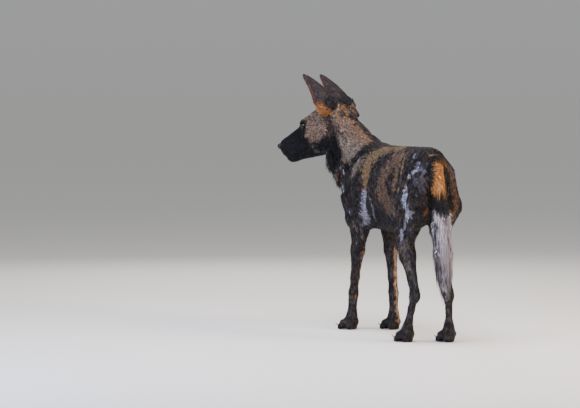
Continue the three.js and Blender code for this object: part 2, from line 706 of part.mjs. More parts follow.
// The brush is long hair in flat, tapering locks. Each is rooted inside the tail at a share t
// of its length, stands out a little as it falls, and draws in again to a pointed tip.
const LOCK_SECTIONS = [[0, -7, 0.7, 0.8], [0.3, 7, 1, 1], [0.68, 11, 0.72, 0.8]];
const LOCK_TIP = [1, 3];
function lock(t, angle, length) {
  const root = tailPoint(t);
  const core = sectionAt(TAIL_CORE, Math.min(t + 0.12, 1))[1];
  const place = ([s, out], across = 0, deep = 0) => {
    const turned = angle + 0.18 * s;
    const reach = Math.max(core + out + deep, 2) * (1 - 0.35 * t * t * s);
    return [
      root[0] - 8 * s * (length / TAIL_LENGTH) + Math.cos(turned) * reach - Math.sin(turned) * across,
      root[1] + Math.sin(turned) * reach + Math.cos(turned) * across,
      root[2] - length * s,
    ];
  };
  const rings = LOCK_SECTIONS.map(([s, out, wide, thick]) => {
    const [w, d] = [(LOCK_WIDTH / 2) * wide, (LOCK_DEPTH / 2) * thick];
    return [[w, 0], [0, d], [-w, 0], [0, -d]].map(([across, deep]) => place([s, out], across, deep));
  });
  const faces = [0, 2, 1, 0, 3, 2];
  const tip = rings.length * 4;
  for (let i = 0; i < 4; i++) {
    const j = (i + 1) % 4;
    for (let ring = 0; ring < tip - 4; ring += 4) {
      faces.push(ring + i, ring + j, ring + 4 + j, ring + i, ring + 4 + j, ring + 4 + i);
    }
    faces.push(tip - 4 + i, tip - 4 + j, tip);
  }
  const made = solid(new Float32Array([...rings.flat(2), ...place(LOCK_TIP)]), new Uint32Array(faces));
  return made;
}
const GOLDEN_ANGLE = 2.39996;
const locks = [...Array(LOCKS).keys()].map((i) => {
  const t = mix(0.34, 0.98, (i + random() * 0.6) / LOCKS);
  return lock(t, i * GOLDEN_ANGLE + random() * 0.5, mix(...LOCK_LENGTH, random()));
});

// Tail.
const brush = locks.reduce((s, made) => s.add(made), tailPart(0)).simplify(LOCK_STRAY);
addNode("tail", brush, BRUSH);

// The origin is on the floor under the middle of the dog's box.
const bounds = new THREE.Box3().setFromObject(dog);
const centre = bounds.getCenter(new THREE.Vector3());
body.position.set(-centre.x, -centre.y, -bounds.min.z);

export default dog;
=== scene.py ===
import math

import bpy
import numpy as np
from mathutils import Matrix, Vector


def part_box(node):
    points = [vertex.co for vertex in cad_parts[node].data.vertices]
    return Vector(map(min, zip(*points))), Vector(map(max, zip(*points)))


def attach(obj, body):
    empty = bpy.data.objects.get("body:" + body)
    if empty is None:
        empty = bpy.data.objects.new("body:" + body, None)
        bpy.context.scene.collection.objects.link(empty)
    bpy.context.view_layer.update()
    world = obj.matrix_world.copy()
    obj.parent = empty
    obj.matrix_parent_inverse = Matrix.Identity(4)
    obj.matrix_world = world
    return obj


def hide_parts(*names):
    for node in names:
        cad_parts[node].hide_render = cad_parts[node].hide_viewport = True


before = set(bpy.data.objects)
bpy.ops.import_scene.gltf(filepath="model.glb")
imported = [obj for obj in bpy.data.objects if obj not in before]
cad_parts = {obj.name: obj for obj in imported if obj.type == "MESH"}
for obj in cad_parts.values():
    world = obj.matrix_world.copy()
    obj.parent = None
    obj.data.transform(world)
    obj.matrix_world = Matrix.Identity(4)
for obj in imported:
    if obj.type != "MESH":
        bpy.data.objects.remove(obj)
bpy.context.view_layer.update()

# Every place below is in millimetres in the dog's own frame: it faces -Y, its left is
# +X, and the middle of its trunk stands over the origin. The head has a frame of its
# own, turned to the left and tipped down.
MM = 0.001
HEAD_AT = np.array([56.0, -455.0, 652.0])
HEAD_YAW, HEAD_PITCH = math.radians(40), math.radians(26)
HEAD_AXES = np.array(Matrix.Rotation(HEAD_YAW, 3, "Z") @ Matrix.Rotation(HEAD_PITCH, 3, "X"))
EYE_AT = (34, 90, 48)


def on_head(left, ahead, up):
    """A place given in the head's frame, in the dog's frame."""
    return HEAD_AT + HEAD_AXES @ np.array([left, -ahead, up], float)


eye_low, eye_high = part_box("left_eye")
ORIGIN = np.array((eye_low + eye_high) / 2) - on_head(*EYE_AT) * MM


def place(point):
    """A place in the dog's frame, in metres in the row's frame."""
    return Vector(ORIGIN + np.asarray(point, float) * MM)


# The view: a long lens 8.1 m behind the dog and to its left, a little above its back. Its
# middle and horizon are given in pixels of a 580 by 408 picture.
CAMERA_BEARING = math.radians(156)
CAMERA_DISTANCE, CAMERA_HEIGHT = 8100, 783
LENS_PIXELS, FRAME_WIDTH, FRAME_HEIGHT = 2571, 580, 408
MIDDLE_PIXEL_X, HORIZON_PIXEL_Y = 407.5, 88
SENSOR_WIDTH = 36

camera_data = bpy.data.cameras.new("camera")
camera_data.sensor_width = SENSOR_WIDTH
camera_data.lens = LENS_PIXELS * SENSOR_WIDTH / FRAME_WIDTH
camera = bpy.data.objects.new("camera", camera_data)
camera.location = place((
    CAMERA_DISTANCE * math.sin(CAMERA_BEARING),
    -CAMERA_DISTANCE * math.cos(CAMERA_BEARING),
    CAMERA_HEIGHT,
))
look_down = math.atan((FRAME_HEIGHT / 2 - HORIZON_PIXEL_Y) / LENS_PIXELS)
look_aside = math.atan((MIDDLE_PIXEL_X - FRAME_WIDTH / 2) / LENS_PIXELS)
camera.rotation_euler = (math.pi / 2 - look_down, 0, CAMERA_BEARING + look_aside)
bpy.context.scene.collection.objects.link(camera)
bpy.context.scene.camera = camera


# The studio: a plain pale floor that runs off out of sight into pale air, a wide soft
# light above, a warm one to the dog's right, a cool one to its left and one in front.
FLOOR_WIDTH = 400
FLOOR_SHADE = "#EEECE8"
AIR_LOW, AIR_HIGH, AIR_STRENGTH = "#C8C9C8", "#D6D8DA", 0.62
AIR_CLEARS_AT = 0.2
LIGHTS_AIM_AT = (20, -60, 420)


def linear(colour):
    """An sRGB hex colour as the linear colour that a shader takes."""
    channels = [int(colour[i:i + 2], 16) / 255 for i in (1, 3, 5)]
    return tuple(c / 12.92 if c <= 0.04045 else ((c + 0.055) / 1.055) ** 2.4 for c in channels)


def add_node(material, kind, links=(), feeds=None, **settings):
    """Adds a node with its settings, (output, input name) links, and what its output feeds."""
    node = material.node_tree.nodes.new(kind)
    for name, value in settings.items():
        if hasattr(node, name):
            setattr(node, name, value)
        else:
            node.inputs[name.replace("_", " ")].default_value = value
    for output, name in links:
        material.node_tree.links.new(output, node.inputs[name])
    if feeds:
        material.node_tree.links.new(node.outputs[feeds[0]], feeds[1])
    return node


def new_material(name, roughness, base=None, **settings):
    """A material, its shader with its plain values set on it, and its object coordinates."""
    material = bpy.data.materials.new(name)
    material.use_nodes = True
    shader = material.node_tree.nodes["Principled BSDF"]
    shader.inputs["Roughness"].default_value = roughness
    if base:
        shader.inputs["Base Color"].default_value = (*linear(base), 1)
    for label, value in settings.items():
        shader.inputs[label.replace("_", " ")].default_value = value
    return material, shader, add_node(material, "ShaderNodeTexCoord").outputs["Object"]


bpy.ops.object.select_all(action="DESELECT")
bpy.ops.mesh.primitive_plane_add(size=FLOOR_WIDTH, location=(ORIGIN[0], ORIGIN[1], 0))
floor = bpy.context.object
floor.name = "studio_floor"
floor_paint = new_material("matt_studio_paint", 0.9, FLOOR_SHADE, Specular_IOR_Level=0.2)[0]
floor.data.materials.append(floor_paint)

world = bpy.data.worlds.new("studio_air")
world.use_nodes = True
air = world.node_tree.nodes["Background"]
air_place = add_node(world, "ShaderNodeTexCoord")
air_height = add_node(world, "ShaderNodeSeparateXYZ", [(air_place.outputs["Generated"], "Vector")])
air_shade = add_node(
    world, "ShaderNodeValToRGB", [(air_height.outputs["Z"], "Fac")], ("Color", air.inputs["Color"]),
)
air_shade.color_ramp.elements[0].color = (*linear(AIR_LOW), 1)
air_shade.color_ramp.elements[1].color = (*linear(AIR_HIGH), 1)
air_shade.color_ramp.elements[1].position = AIR_CLEARS_AT
air.inputs["Strength"].default_value = AIR_STRENGTH
bpy.context.scene.world = world

# Each light: its name, place, width, power in watts and colour.
STUDIO_LIGHTS = [
    ("overhead_softbox", (600, 300, 2900), 2000, 110, "#F3F6FF"),
    ("warm_softbox", (-1900, 2300, 2100), 1200, 140, "#FFE0BA"),
    ("fill_softbox", (2600, 900, 1300), 1300, 66, "#B9CEFF"),
    ("front_softbox", (-500, -3000, 1900), 1600, 35, "#FFF3E4"),
]
for light_name, light_at, light_size, light_power, light_colour in STUDIO_LIGHTS:
    light_data = bpy.data.lights.new(light_name, "AREA")
    light_data.size = light_size * MM
    light_data.energy = light_power
    light_data.color = linear(light_colour)
    light = bpy.data.objects.new(light_name, light_data)
    light.location = place(light_at)
    aim = place(LIGHTS_AIM_AT) - light.location
    light.rotation_euler = aim.to_track_quat("-Z", "Y").to_euler()
    bpy.context.scene.collection.objects.link(light)


# One hide over flesh and bone, from the lips to the tail's end. It is taken from the
# parts of the frame, closed over their seams, relaxed, and drawn in by the coat's depth.
FLESH = ["torso", "neck", "head", "tail"] + [
    f"{end}_{side}_{part}"
    for end in ("fore", "hind") for side in ("left", "right") for part in ("leg", "paw")
]
SEAM_OVERLAP = 1.0
SKIN_VOXEL = 4.0
RELAX_ROUNDS, DRAW_IN, LET_OUT = 26, 0.5, -0.526
COAT_DEPTH = {"body": 3.6, "face": 1.6, "paw": 1.2}
MERGE_WITHIN = 0.02
# The mounds of flesh behind each ear's root, on the head: left, ahead, up and radius.
EAR_MOUNDS = [(46, -44, 30, 25), (49, -54, 46, 17)]


def copy_node(node_name):
    """Adds a copy of one of the frame's nodes, selected, with a mesh of its own."""
    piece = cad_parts[node_name].copy()
    piece.data = piece.data.copy()
    piece.parent = None
    piece.matrix_world = Matrix.Identity(4)
    bpy.context.scene.collection.objects.link(piece)
    for key in list(piece.keys()):
        del piece[key]
    piece.select_set(True)
    bpy.context.view_layer.objects.active = piece
    return piece


def close_over(piece, voxel):
    """Turns a piece into one closed mesh of even grain."""
    closing = piece.modifiers.new("closing", "REMESH")
    closing.mode = "VOXEL"
    closing.voxel_size = voxel * MM
    bpy.ops.object.modifier_apply(modifier="closing")


bpy.ops.object.select_all(action="DESELECT")
flesh_pieces = [copy_node(node_name) for node_name in FLESH]
bpy.ops.object.mode_set(mode="EDIT")
bpy.ops.mesh.select_all(action="SELECT")
bpy.ops.mesh.remove_doubles(threshold=MERGE_WITHIN * MM)
bpy.ops.transform.shrink_fatten(value=SEAM_OVERLAP * MM)
bpy.ops.object.mode_set(mode="OBJECT")
for side in (1, -1):
    for left, ahead, up, girth in EAR_MOUNDS:
        bpy.ops.mesh.primitive_ico_sphere_add(
            subdivisions=3, radius=girth * MM, location=place(on_head(side * left, ahead, up)),
        )
        bpy.ops.object.transform_apply(location=True, rotation=True, scale=True)
        flesh_pieces.append(bpy.context.object)
for piece in flesh_pieces:
    piece.select_set(True)
bpy.ops.object.join()
skin = bpy.context.object
skin.name = skin.data.name = "skin"
close_over(skin, SKIN_VOXEL)


def read_points(mesh):
    """A mesh's vertices in the dog's frame."""
    flat = np.empty(len(mesh.vertices) * 3, np.float32)
    mesh.vertices.foreach_get("co", flat)
    return (flat.reshape(-1, 3).astype(float) - ORIGIN) / MM


def write_points(mesh, points):
    """Moves a mesh's vertices to places in the dog's frame."""
    mesh.vertices.foreach_set("co", (ORIGIN + points * MM).astype(np.float32).ravel())
    mesh.update()


def read_normals(mesh):
    """A mesh's vertex normals."""
    flat = np.empty(len(mesh.vertices) * 3, np.float32)
    mesh.vertex_normals.foreach_get("vector", flat)
    return flat.reshape(-1, 3).astype(float)


def norms(rows):
    """The length of each row."""
    return np.linalg.norm(rows, axis=1)


def unit(rows):
    """Each row made 1 long."""
    return rows / norms(rows)[:, None]


def relax(mesh, rounds):
    """Irons out facets and keeps the volume, by turns of drawing in and letting out."""
    edges = np.empty(len(mesh.edges) * 2, np.int32)
    mesh.edges.foreach_get("vertices", edges)
    first, second = edges.reshape(-1, 2).T
    points = read_points(mesh)
    degree = np.bincount(edges, minlength=len(points)).astype(float)[:, None]
    for turn in range(rounds):
        for pull in (DRAW_IN, LET_OUT):
            total = np.stack([
                np.bincount(first, points[second, axis], len(points))
                + np.bincount(second, points[first, axis], len(points))
                for axis in range(3)
            ], axis=1)
            points += (total / degree - points) * pull
    write_points(mesh, points)


def into_head(points):
    """Places in the head's frame, as columns left, ahead and up."""
    turned = (points - HEAD_AT) @ HEAD_AXES
    return np.stack([turned[:, 0], -turned[:, 1], turned[:, 2]], axis=1)


def ramp(values, start, end):
    """0 at start, 1 at end, smooth between."""
    t = np.clip((values - start) / (end - start), 0, 1)
    return t * t * (3 - 2 * t)


relax(skin.data, RELAX_ROUNDS)
skin_points = read_points(skin.data)
head_points = into_head(skin_points)
off_head = norms(skin_points - HEAD_AT)
faceness = ramp(head_points[:, 1], 10, 70) * ramp(-off_head, -330, -280)
pawness = ramp(-skin_points[:, 2], -90, -50)
depth = COAT_DEPTH["body"] + (COAT_DEPTH["face"] - COAT_DEPTH["body"]) * faceness
depth = depth + (COAT_DEPTH["paw"] - depth) * pawness
skin_points -= read_normals(skin.data) * (depth + SEAM_OVERLAP)[:, None]
write_points(skin.data, skin_points)


# Lips: the mouth's line is a crease from under the nose back to the corner of the lips,
# and the muzzle reaches a little further than the frame's own head.
MOUTH_AHEAD = [102, 106, 122, 150, 176, 194, 204, 212]
MOUTH_UP = [-20, -20, -24, -24, -21, -13, -4, -2]
CREASE_DEPTH, CREASE_REACH = 3.0, 4.6
MUZZLE_REACH = 8
FACE_SPAN, HEAD_SPAN = 240, 300


def reach_muzzle(points):
    """Draws the muzzle out along the head, most at its tip."""
    on_face = norms(points - HEAD_AT) < HEAD_SPAN
    reach = MUZZLE_REACH * on_face * ramp(into_head(points)[:, 1], 110, 205)
    return points + HEAD_AXES @ np.array([0, -1, 0]) * reach[:, None]


skin_points = read_points(skin.data)
in_head = into_head(skin_points)
off_line = np.abs(in_head[:, 2] - np.interp(in_head[:, 1], MOUTH_AHEAD, MOUTH_UP))
crease = (1 - ramp(off_line, 0, CREASE_REACH)) * ramp(in_head[:, 1], 98, 110)
crease *= norms(skin_points - HEAD_AT) < FACE_SPAN
skin_points -= read_normals(skin.data) * (CREASE_DEPTH * crease)[:, None]
write_points(skin.data, reach_muzzle(skin_points))
bpy.ops.object.shade_smooth()
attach(skin, "root")
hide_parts(*FLESH)


# Markings: a wild dog is black with tan, white and grey patches that no other dog
# repeats. Each is a stroke along the body, and skin and hair take their colours from it.
def along_path(points, path):
    """How far places lie from a path, and how far along it their nearest point is."""
    path = np.asarray(path, float)
    nearest = np.full(len(points), np.inf)
    at = np.zeros(len(points))
    run = 0.0
    for start, end in zip(path[:-1], path[1:]):
        way = end - start
        span = np.linalg.norm(way)
        t = np.clip((points - start) @ way / span ** 2, 0, 1)
        off = norms(points - start - t[:, None] * way)
        closer = off < nearest
        nearest[closer] = off[closer]
        at[closer] = run + t[closer] * span
        run += span
    return nearest, at


def ripple(points, scale, seed):
    """Smooth seeded noise of a given grain, mostly between -1 and 1."""
    waves = np.random.default_rng(seed)
    ways = waves.normal(size=(14, 3))
    ways *= (2 * np.pi / scale * waves.uniform(0.5, 1.7, 14) / norms(ways))[:, None]
    return np.sin(points @ ways.T + waves.uniform(0, 2 * np.pi, 14)).sum(axis=1) / 3.7


# Some strokes paint light and shade: a grey-blue sheen on the hip and haunch, warm rim light on the nape's
# top, and shade's bluish grey on the elbow's white.
# Each mark's colour, half width, how ragged its edge is, how strong it is, and its places.
MARKS = [
    ("#A08E80", 40, 8, 0.9,  # neck side
     [(103, -408, 626), (91, -352, 594), (80, -277, 583), (82, -230, 551)]),
    ("#9C8372", 28, 7, 0.85, [(72, -382, 685), (58, -330, 653), (47, -255, 615)]),  # neck top
    ("#1C181C", 25, 7, 0.9, [(112, -438, 579), (96, -392, 541), (88, -351, 509)]),  # throat dark
    ("#94745A", 12, 8, 0.85,  # throat tan
     [(102, -405, 556), (100, -392, 540), (98, -377, 520), (95, -346, 494)]),
    ("#A8774E", 9, 6, 0.8,  # nape rust, partly the fur's own rust and partly painted warm rim light
     [(66, -430, 730), (52, -387, 698), (36, -324, 656), (28, -242, 615)]),
    ("#17151A", 20, 6, 1,  # collar black
     [(40, -175, 597), (68, -207, 584), (81, -250, 551), (78, -298, 511), (97, -262, 460)]),
    ("#947A5A", 19, 6, 0.9, [(23, 9, 598), (35, -56, 592), (49, -113, 583)]),  # shoulder tan top
    ("#947A5A", 33, 6, 0.9,  # shoulder tan
     [(49, -113, 583), (66, -139, 563), (78, -151, 537), (83, -146, 515)]),
    ("#94744F", 17, 5, 0.85, [(83, -146, 515), (87, -149, 490), (88, -145, 464)]),  # shoulder tan low
    ("#ACA9BA", 15, 4, 0.95,  # elbow white, a white patch painted in the bluish grey of shade
     [(87, -148, 448), (87, -156, 429), (85, -165, 403), (79, -166, 380), (74, -167, 364)]),
    ("#8B93A3", 5, 3, 0.8,  # elbow grey streak
     [(87, -120, 443), (85, -96, 418), (79, -98, 393), (65, -117, 363)]),
    ("#D9D6DF", 4, 2, 0.95,  # chest white fork
     [(83, -318, 518), (83, -321, 494), (80, -338, 470), (100, -282, 453)]),
    ("#B7B0B4", 4, 2, 0.8, [(85, -337, 529), (86, -331, 503), (83, -326, 481)]),  # chest white fork 2
    ("#7C6350", 30, 9, 0.8,  # flank brindle
     [(61, 50, 565), (78, 9, 533), (86, -18, 494), (88, -22, 463), (85, 3, 432), (78, 42, 412)]),
    ("#8B6D50", 13, 6, 0.85,  # flank tan wide
     [(54, 71, 575), (72, 75, 541), (80, 77, 507), (83, 68, 466)]),
    ("#AA8A60", 5, 2, 0.9,  # stifle line
     [(34, 87, 593), (59, 99, 566), (72, 110, 532), (78, 115, 498), (100, 162, 476)]),
    ("#A88F72", 3, 2, 0.8, [(35, -41, 592), (57, -55, 575), (69, -67, 556)]),  # flank stroke 1
    ("#B9B6C2", 3, 1, 0.8, [(65, -53, 562), (75, -45, 544)]),  # flank stroke 2
    ("#A5835F", 3, 2, 0.8, [(78, -76, 533), (85, -73, 508)]),  # flank stroke 3
    ("#9C7C5C", 4, 2, 0.8, [(76, 5, 539), (83, -3, 510), (86, -2, 485)]),  # flank stroke 4
    ("#A58A6A", 3, 2, 0.8, [(36, 7, 592), (61, 11, 567), (71, -3, 551)]),  # flank stroke 5
    ("#A58A6A", 3, 2, 0.8, [(35, 51, 593), (57, 49, 571), (67, 47, 555)]),  # flank stroke 6
    ("#8E6E54", 5, 3, 0.8, [(87, -40, 487), (88, -52, 461), (86, -34, 434)]),  # flank stroke 7
    ("#5A564F", 3, 2, 0.6, [(76, -2, 394), (63, 22, 370), (102, 152, 349)]),  # belly strokes
    ("#6B6A60", 3, 2, 0.6, [(44, -147, 339), (28, -111, 329), (23, -60, 330)]),  # belly line
    ("#A7A3B5", 6, 3, 0.8, [(46, 156, 583), (60, 169, 568)]),  # hip: painted grey-blue sheen on the black fur
    ("#8A8799", 11, 5, 0.65, [(66, 212, 554), (66, 240, 536), (67, 259, 521)]),  # haunch: painted grey-blue sheen on the black fur
    ("#C4C6D8", 5, 2, 0.95,  # thigh white 1
     [(71, 221, 539), (83, 210, 526), (91, 201, 514), (94, 200, 480)]),
    ("#BDC0D3", 9, 4, 0.95, [(94, 200, 480), (99, 197, 452), (104, 219, 432)]),  # thigh white 2
    ("#B5B8CB", 10, 4, 0.9, [(104, 219, 432), (104, 237, 411), (98, 203, 388)]),  # thigh white 3
    ("#AEB1C4", 7, 4, 0.85,  # thigh white 4
     [(99, 200, 388), (94, 189, 366), (96, 171, 340), (100, 170, 307)]),
    ("#6A4B3B", 5, 2, 0.8, [(81, 186, 545), (84, 189, 541)]),  # thigh spot
    ("#635E6B", 16, 8, 0.6, [(82, 230, 502), (74, 259, 500), (72, 263, 479)]),  # thigh grey
    ("#141318", 14, 5, 0.9, [(89, 250, 454), (85, 263, 427), (75, 262, 400)]),  # thigh black
    ("#6C6055", 13, 6, 0.7, [(96, 175, 313), (96, 198, 271), (90, 208, 232)]),  # lower thigh tan
    ("#A8692F", 7, 3, 0.9, [(53, 269, 424), (59, 264, 399)]),  # inner thigh rust
    ("#B78850", 8, 4, 0.9,  # rump arc
     [(39, 237, 580), (27, 267, 582), (15, 285, 572), (-20, 252, 551)]),
    ("#80604A", 17, 8, 0.8,  # rump right
     [(-26, 255, 538), (-45, 258, 508), (-52, 256, 471), (-47, 268, 425), (-40, 246, 378)]),
    ("#1B1719", 6, 5, 0.7, [(-14, 273, 518), (-26, 268, 472)]),  # rump right dark
    ("#E0DDE2", 3, 0.5, 1, [(99, -234, 392), (100, -233, 390)]),  # arm dot
    ("#8E7F74", 3, 2, 0.7, [(101, -227, 378), (101, -203, 353), (93, -188, 331)]),  # arm streak 1
    ("#7D6E66", 5, 3, 0.7, [(86, -180, 354), (83, -179, 322), (73, -193, 295)]),  # arm streak 2
    ("#6F625B", 3, 2, 0.6, [(104, -262, 434), (102, -250, 412)]),  # arm streak 3
    ("#9A6A4A", 4, 2, 0.8,  # fore left rear
     [(62, -203, 272), (62, -220, 222), (67, -232, 164), (73, -243, 98)]),
    ("#C9A284", 8, 3, 0.8,  # fore right rear
     [(-54, -212, 259), (-59, -215, 220), (-57, -210, 162), (-56, -203, 97), (-63, -207, 25)]),
    ("#8A5236", 4, 3, 0.7, [(-49, -211, 233), (-49, -207, 162), (-48, -201, 111)]),  # fore right rear 2
    ("#57503F", 9, 6, 0.5, [(95, 196, 280), (90, 207, 244), (83, 229, 208)]),  # hind left grey
    ("#5A4A42", 5, 3, 0.6, [(-64, 181, 313), (-60, 204, 246), (-40, 248, 179)]),  # hind right rear
]
# The marks that the far side echoes, how strongly, and how far they wander there.
MIRRORED_MARKS, ECHO_SHARE, ECHO_DRIFT = slice(5, 34), 0.9, 26
EDGE_GRAIN, FINE_GRAIN, PATCH_GRAIN, SMOKE_GRAIN = 21, 9, 40, 32
COAT_BLACK, COAT_BROWN, COAT_SMOKE = "#151217", "#4B352A", "#43434F"
MASK_BLACK, BROW_TAN, CHEEK_GREY = "#0F0E12", "#856A56", "#A8968B"
FLECK_PALE, EAR_ROOT_TAN, EAR_ROOT_PALE = "#8C7A6C", "#96714F", "#C2B3A6"
TAIL_GOLD, TAIL_BLACK, TAIL_WHITE, TAIL_TIP = "#C98A4C", "#17151A", "#CFC6CE", "#5E5660"
TAIL_ROOT_HEIGHT, TAIL_REACH, TRUNK_END = 559, 350, 268


def midline(y):
    """How far left the back's middle lies, as the spine curves a little."""
    return 18 * (y / 270) ** 2


def tail_at(t):
    """The middle of the tail at a share of its length, as in the frame."""
    return np.stack([
        midline(TRUNK_END) + 4 - 6 * t - 10 * t * t,
        TRUNK_END - 4 + 32 * np.sin(np.minimum(t * 2.4, 1) * np.pi / 2) - 6 * t,
        TAIL_ROOT_HEIGHT - TAIL_REACH * t,
    ], axis=-1)


def tint(colours, shade, weight):
    """Lays a colour over others, by weights from 0 to 1."""
    return colours + (np.array(linear(shade)) - colours) * np.clip(weight, 0, 1)[:, None]


def coat_colour(points):
    """The coat's colours at places of the dog, as the shader takes them."""
    ragged = np.stack([ripple(points, EDGE_GRAIN, seed) for seed in (1, 2, 3)], axis=1)
    fine = ripple(points, FINE_GRAIN, 4)
    colours = np.tile(linear(COAT_BLACK), (len(points), 1))
    brown = ramp(ripple(points, PATCH_GRAIN, 5) + 0.6 * fine, 0.2, 0.9)
    colours = tint(colours, COAT_BROWN, (0.25 + 0.4 * ramp(points[:, 2], 300, 380)) * brown)
    smoke = ramp(ripple(points, SMOKE_GRAIN, 6) - 0.5 * fine, 0.25, 0.9)
    colours = tint(colours, COAT_SMOKE, 0.6 * smoke)
    far_side = ramp(-(points[:, 0] - midline(points[:, 1])), 2, 14) * ramp(points[:, 1], -330, -290)
    across = points.copy()
    across[:, 0] = 2 * midline(points[:, 1]) - points[:, 0]
    across += ECHO_DRIFT * np.stack([
        0.4 * ripple(points, 150, 7), ripple(points, 170, 8), ripple(points, 160, 9)], axis=1)
    echo = (across, far_side * ECHO_SHARE, MARKS[MIRRORED_MARKS])
    for places, share, marks in (echo, (points, 1, MARKS)):
        for shade, half_width, rag, strength, path in marks:
            off, _ = along_path(places + ragged * rag, path)
            edge = half_width * (1 + 0.22 * fine)
            inside = 1 - ramp(off, edge * 0.72, edge * 1.18 + 0.8)
            colours = tint(colours, shade, strength * share * inside)
    flecks = ripple(points * np.array([1, 1, 0.35]), 8, 15) + 0.5 * ripple(points, 5, 16)
    colours = tint(colours, COAT_BLACK, 0.6 * ramp(flecks, 0.25, 0.9))
    colours = tint(colours, FLECK_PALE, 0.28 * ramp(-flecks, 0.6, 1.1))
    return head_colours(tail_colours(colours, points, fine), points, fine)


def tail_colours(colours, points, fine):
    """Lays the tail's gold root, black band, white brush and grey end over the coat."""
    t = (TAIL_ROOT_HEIGHT - points[:, 2]) / TAIL_REACH
    off = norms((points - tail_at(np.clip(t, 0, 1.4)))[:, :2])
    on_tail = (1 - ramp(off, 34, 42)) * ramp(points[:, 1], 248, 262) * ramp(-points[:, 2], -590, -575)
    down = points[:, 2] + 5 * fine
    aside = np.abs(points[:, 0] - tail_at(t)[:, 0] - 3 + 0.06 * (down - 500)) + 2.5 * fine
    colours = tint(colours, TAIL_BLACK, on_tail * (1 - ramp(off, 25, 32)) * 0.8)
    gold = (1 - ramp(aside, 13, 20)) * (points[:, 1] > 268)
    gold *= ramp(down, 462, 476) * (1 - ramp(down, 548, 566))
    colours = tint(colours, TAIL_GOLD, on_tail * gold * 0.95)
    colours = tint(colours, TAIL_BLACK, on_tail * ramp(down, 566, 578) * 0.6)
    colours = tint(colours, TAIL_BLACK, on_tail * (1 - ramp(down, 462, 474)) * ramp(down, 404, 416))
    white = on_tail * (1 - ramp(down, 404, 418))
    colours = tint(colours, TAIL_WHITE, white)
    return tint(colours, TAIL_TIP, white * (1 - ramp(down, 205, 250)) * 0.75)


def head_colours(colours, points, fine):
    """Lays the tan brow and cheeks, black muzzle, jaw and stripe, and ear roots over it."""
    left, ahead, up = into_head(points).T
    off_face = norms(points - on_head(0, 70, 0))
    near = (1 - ramp(off_face, 165, 185)) * ramp(ahead, -42, -18)
    strand = ripple(points, 5, 10) + 0.6 * ripple(points, 11, 14)
    colours = tint(colours, BROW_TAN, near)
    colours = tint(colours, CHEEK_GREY, near * 0.7 * ramp(strand + 0.3 * fine, -0.1, 0.9))
    colours = tint(colours, MASK_BLACK, near * 0.55 * ramp(-strand, 0.1, 0.8))
    wobble = 5 * fine + 6 * ripple(points, 33, 11)
    mask = ramp(ahead + 0.35 * np.abs(left) + wobble, 92, 112)
    jaw = ramp(-up + wobble, 12, 30)
    stripe = 1 - ramp(np.abs(left) + wobble * 0.4, 5, 10)
    behind = ramp(-ahead + wobble, -14, 4) * ramp(-up, -62, -40)
    halves = np.stack([np.abs(left), ahead, up], axis=1)
    around_eye = 1 - ramp(norms(halves - np.array(EYE_AT)), 17, 27)
    for part in (mask, jaw, stripe * 0.85, behind * 0.8, around_eye * 0.9):
        colours = tint(colours, MASK_BLACK, near * part)
    off_root = norms(halves - np.array((52, -62, 52)))
    root = (1 - ramp(off_root + 5 * fine, 34, 52)) * ramp(-ahead, 8, 30)
    colours = tint(colours, EAR_ROOT_TAN, root * 0.75 * ramp(strand, -0.6, 0.3))
    return tint(colours, EAR_ROOT_PALE, root * 0.6 * ramp(strand, 0.5, 1.2))


def paint_points(mesh, colours):
    """Gives a mesh its coat colours, one for each vertex."""
    layer = mesh.color_attributes.new("coat_colour", "FLOAT_COLOR", "POINT")
    with_alpha = np.column_stack([colours, np.ones(len(colours))])
    layer.data.foreach_set("color", with_alpha.astype(np.float32).ravel())


paint_points(skin.data, coat_colour(read_points(skin.data)))

# The skin's own finish is a short coat lying flat: dull hair, whose strands are finer than
# the render shows, so its bump is drawn as coarse as 1.5 mm.
STRAND_GRAIN, STRAND_RISE = 1.5, 1.2
hide_paint, hide_shader, on_hide = new_material("flat_short_coat", 0.62, Specular_IOR_Level=0.28)
add_node(
    hide_paint, "ShaderNodeAttribute", feeds=("Color", hide_shader.inputs["Base Color"]),
    attribute_name="coat_colour",
)
strands = add_node(
    hide_paint, "ShaderNodeTexNoise", [(on_hide, "Vector")], Scale=1 / (STRAND_GRAIN * MM), Detail=3,
)
add_node(
    hide_paint, "ShaderNodeBump", [(strands.outputs["Fac"], "Height")],
    ("Normal", hide_shader.inputs["Normal"]), Strength=0.5, Distance=STRAND_RISE * MM,
)
skin.data.materials.clear()
skin.data.materials.append(hide_paint)


# Ears: tall rounded cups of gristle, rolled nearly into a tube at the root, with a thin
# furred skin on both faces. Each is a curved sheet given its thickness, then smoothed.
EAR_HEIGHT, EAR_WIDTH, EAR_THICKNESS = 167, 82, 2.6
EAR_ROOT, EAR_TILT = (51, 61, 44), (16, 3, -17)
# How wide an ear is at shares of its height, and how many degrees it wraps to each side.
EAR_OUTLINE = [
    (-0.22, 0.3), (0, 0.52), (0.15, 0.78), (0.38, 0.92), (0.6, 0.75), (0.8, 0.5), (0.93, 0.29), (1, 0.07),
]
EAR_WRAP = [(0, 118), (0.3, 96), (0.6, 58), (1, 34)]
EAR_BOW, EAR_FOOT = 24, -0.2
EAR_ROWS, EAR_COLUMNS = 30, 18
sheet_rows, sheet_columns = np.meshgrid(
    np.linspace(EAR_FOOT, 1, EAR_ROWS), np.linspace(-1, 1, EAR_COLUMNS), indexing="ij",
)


def read_table(table, at):
    """A table of (place, value) pairs, read between its places."""
    return np.interp(at, *np.array(table, float).T)


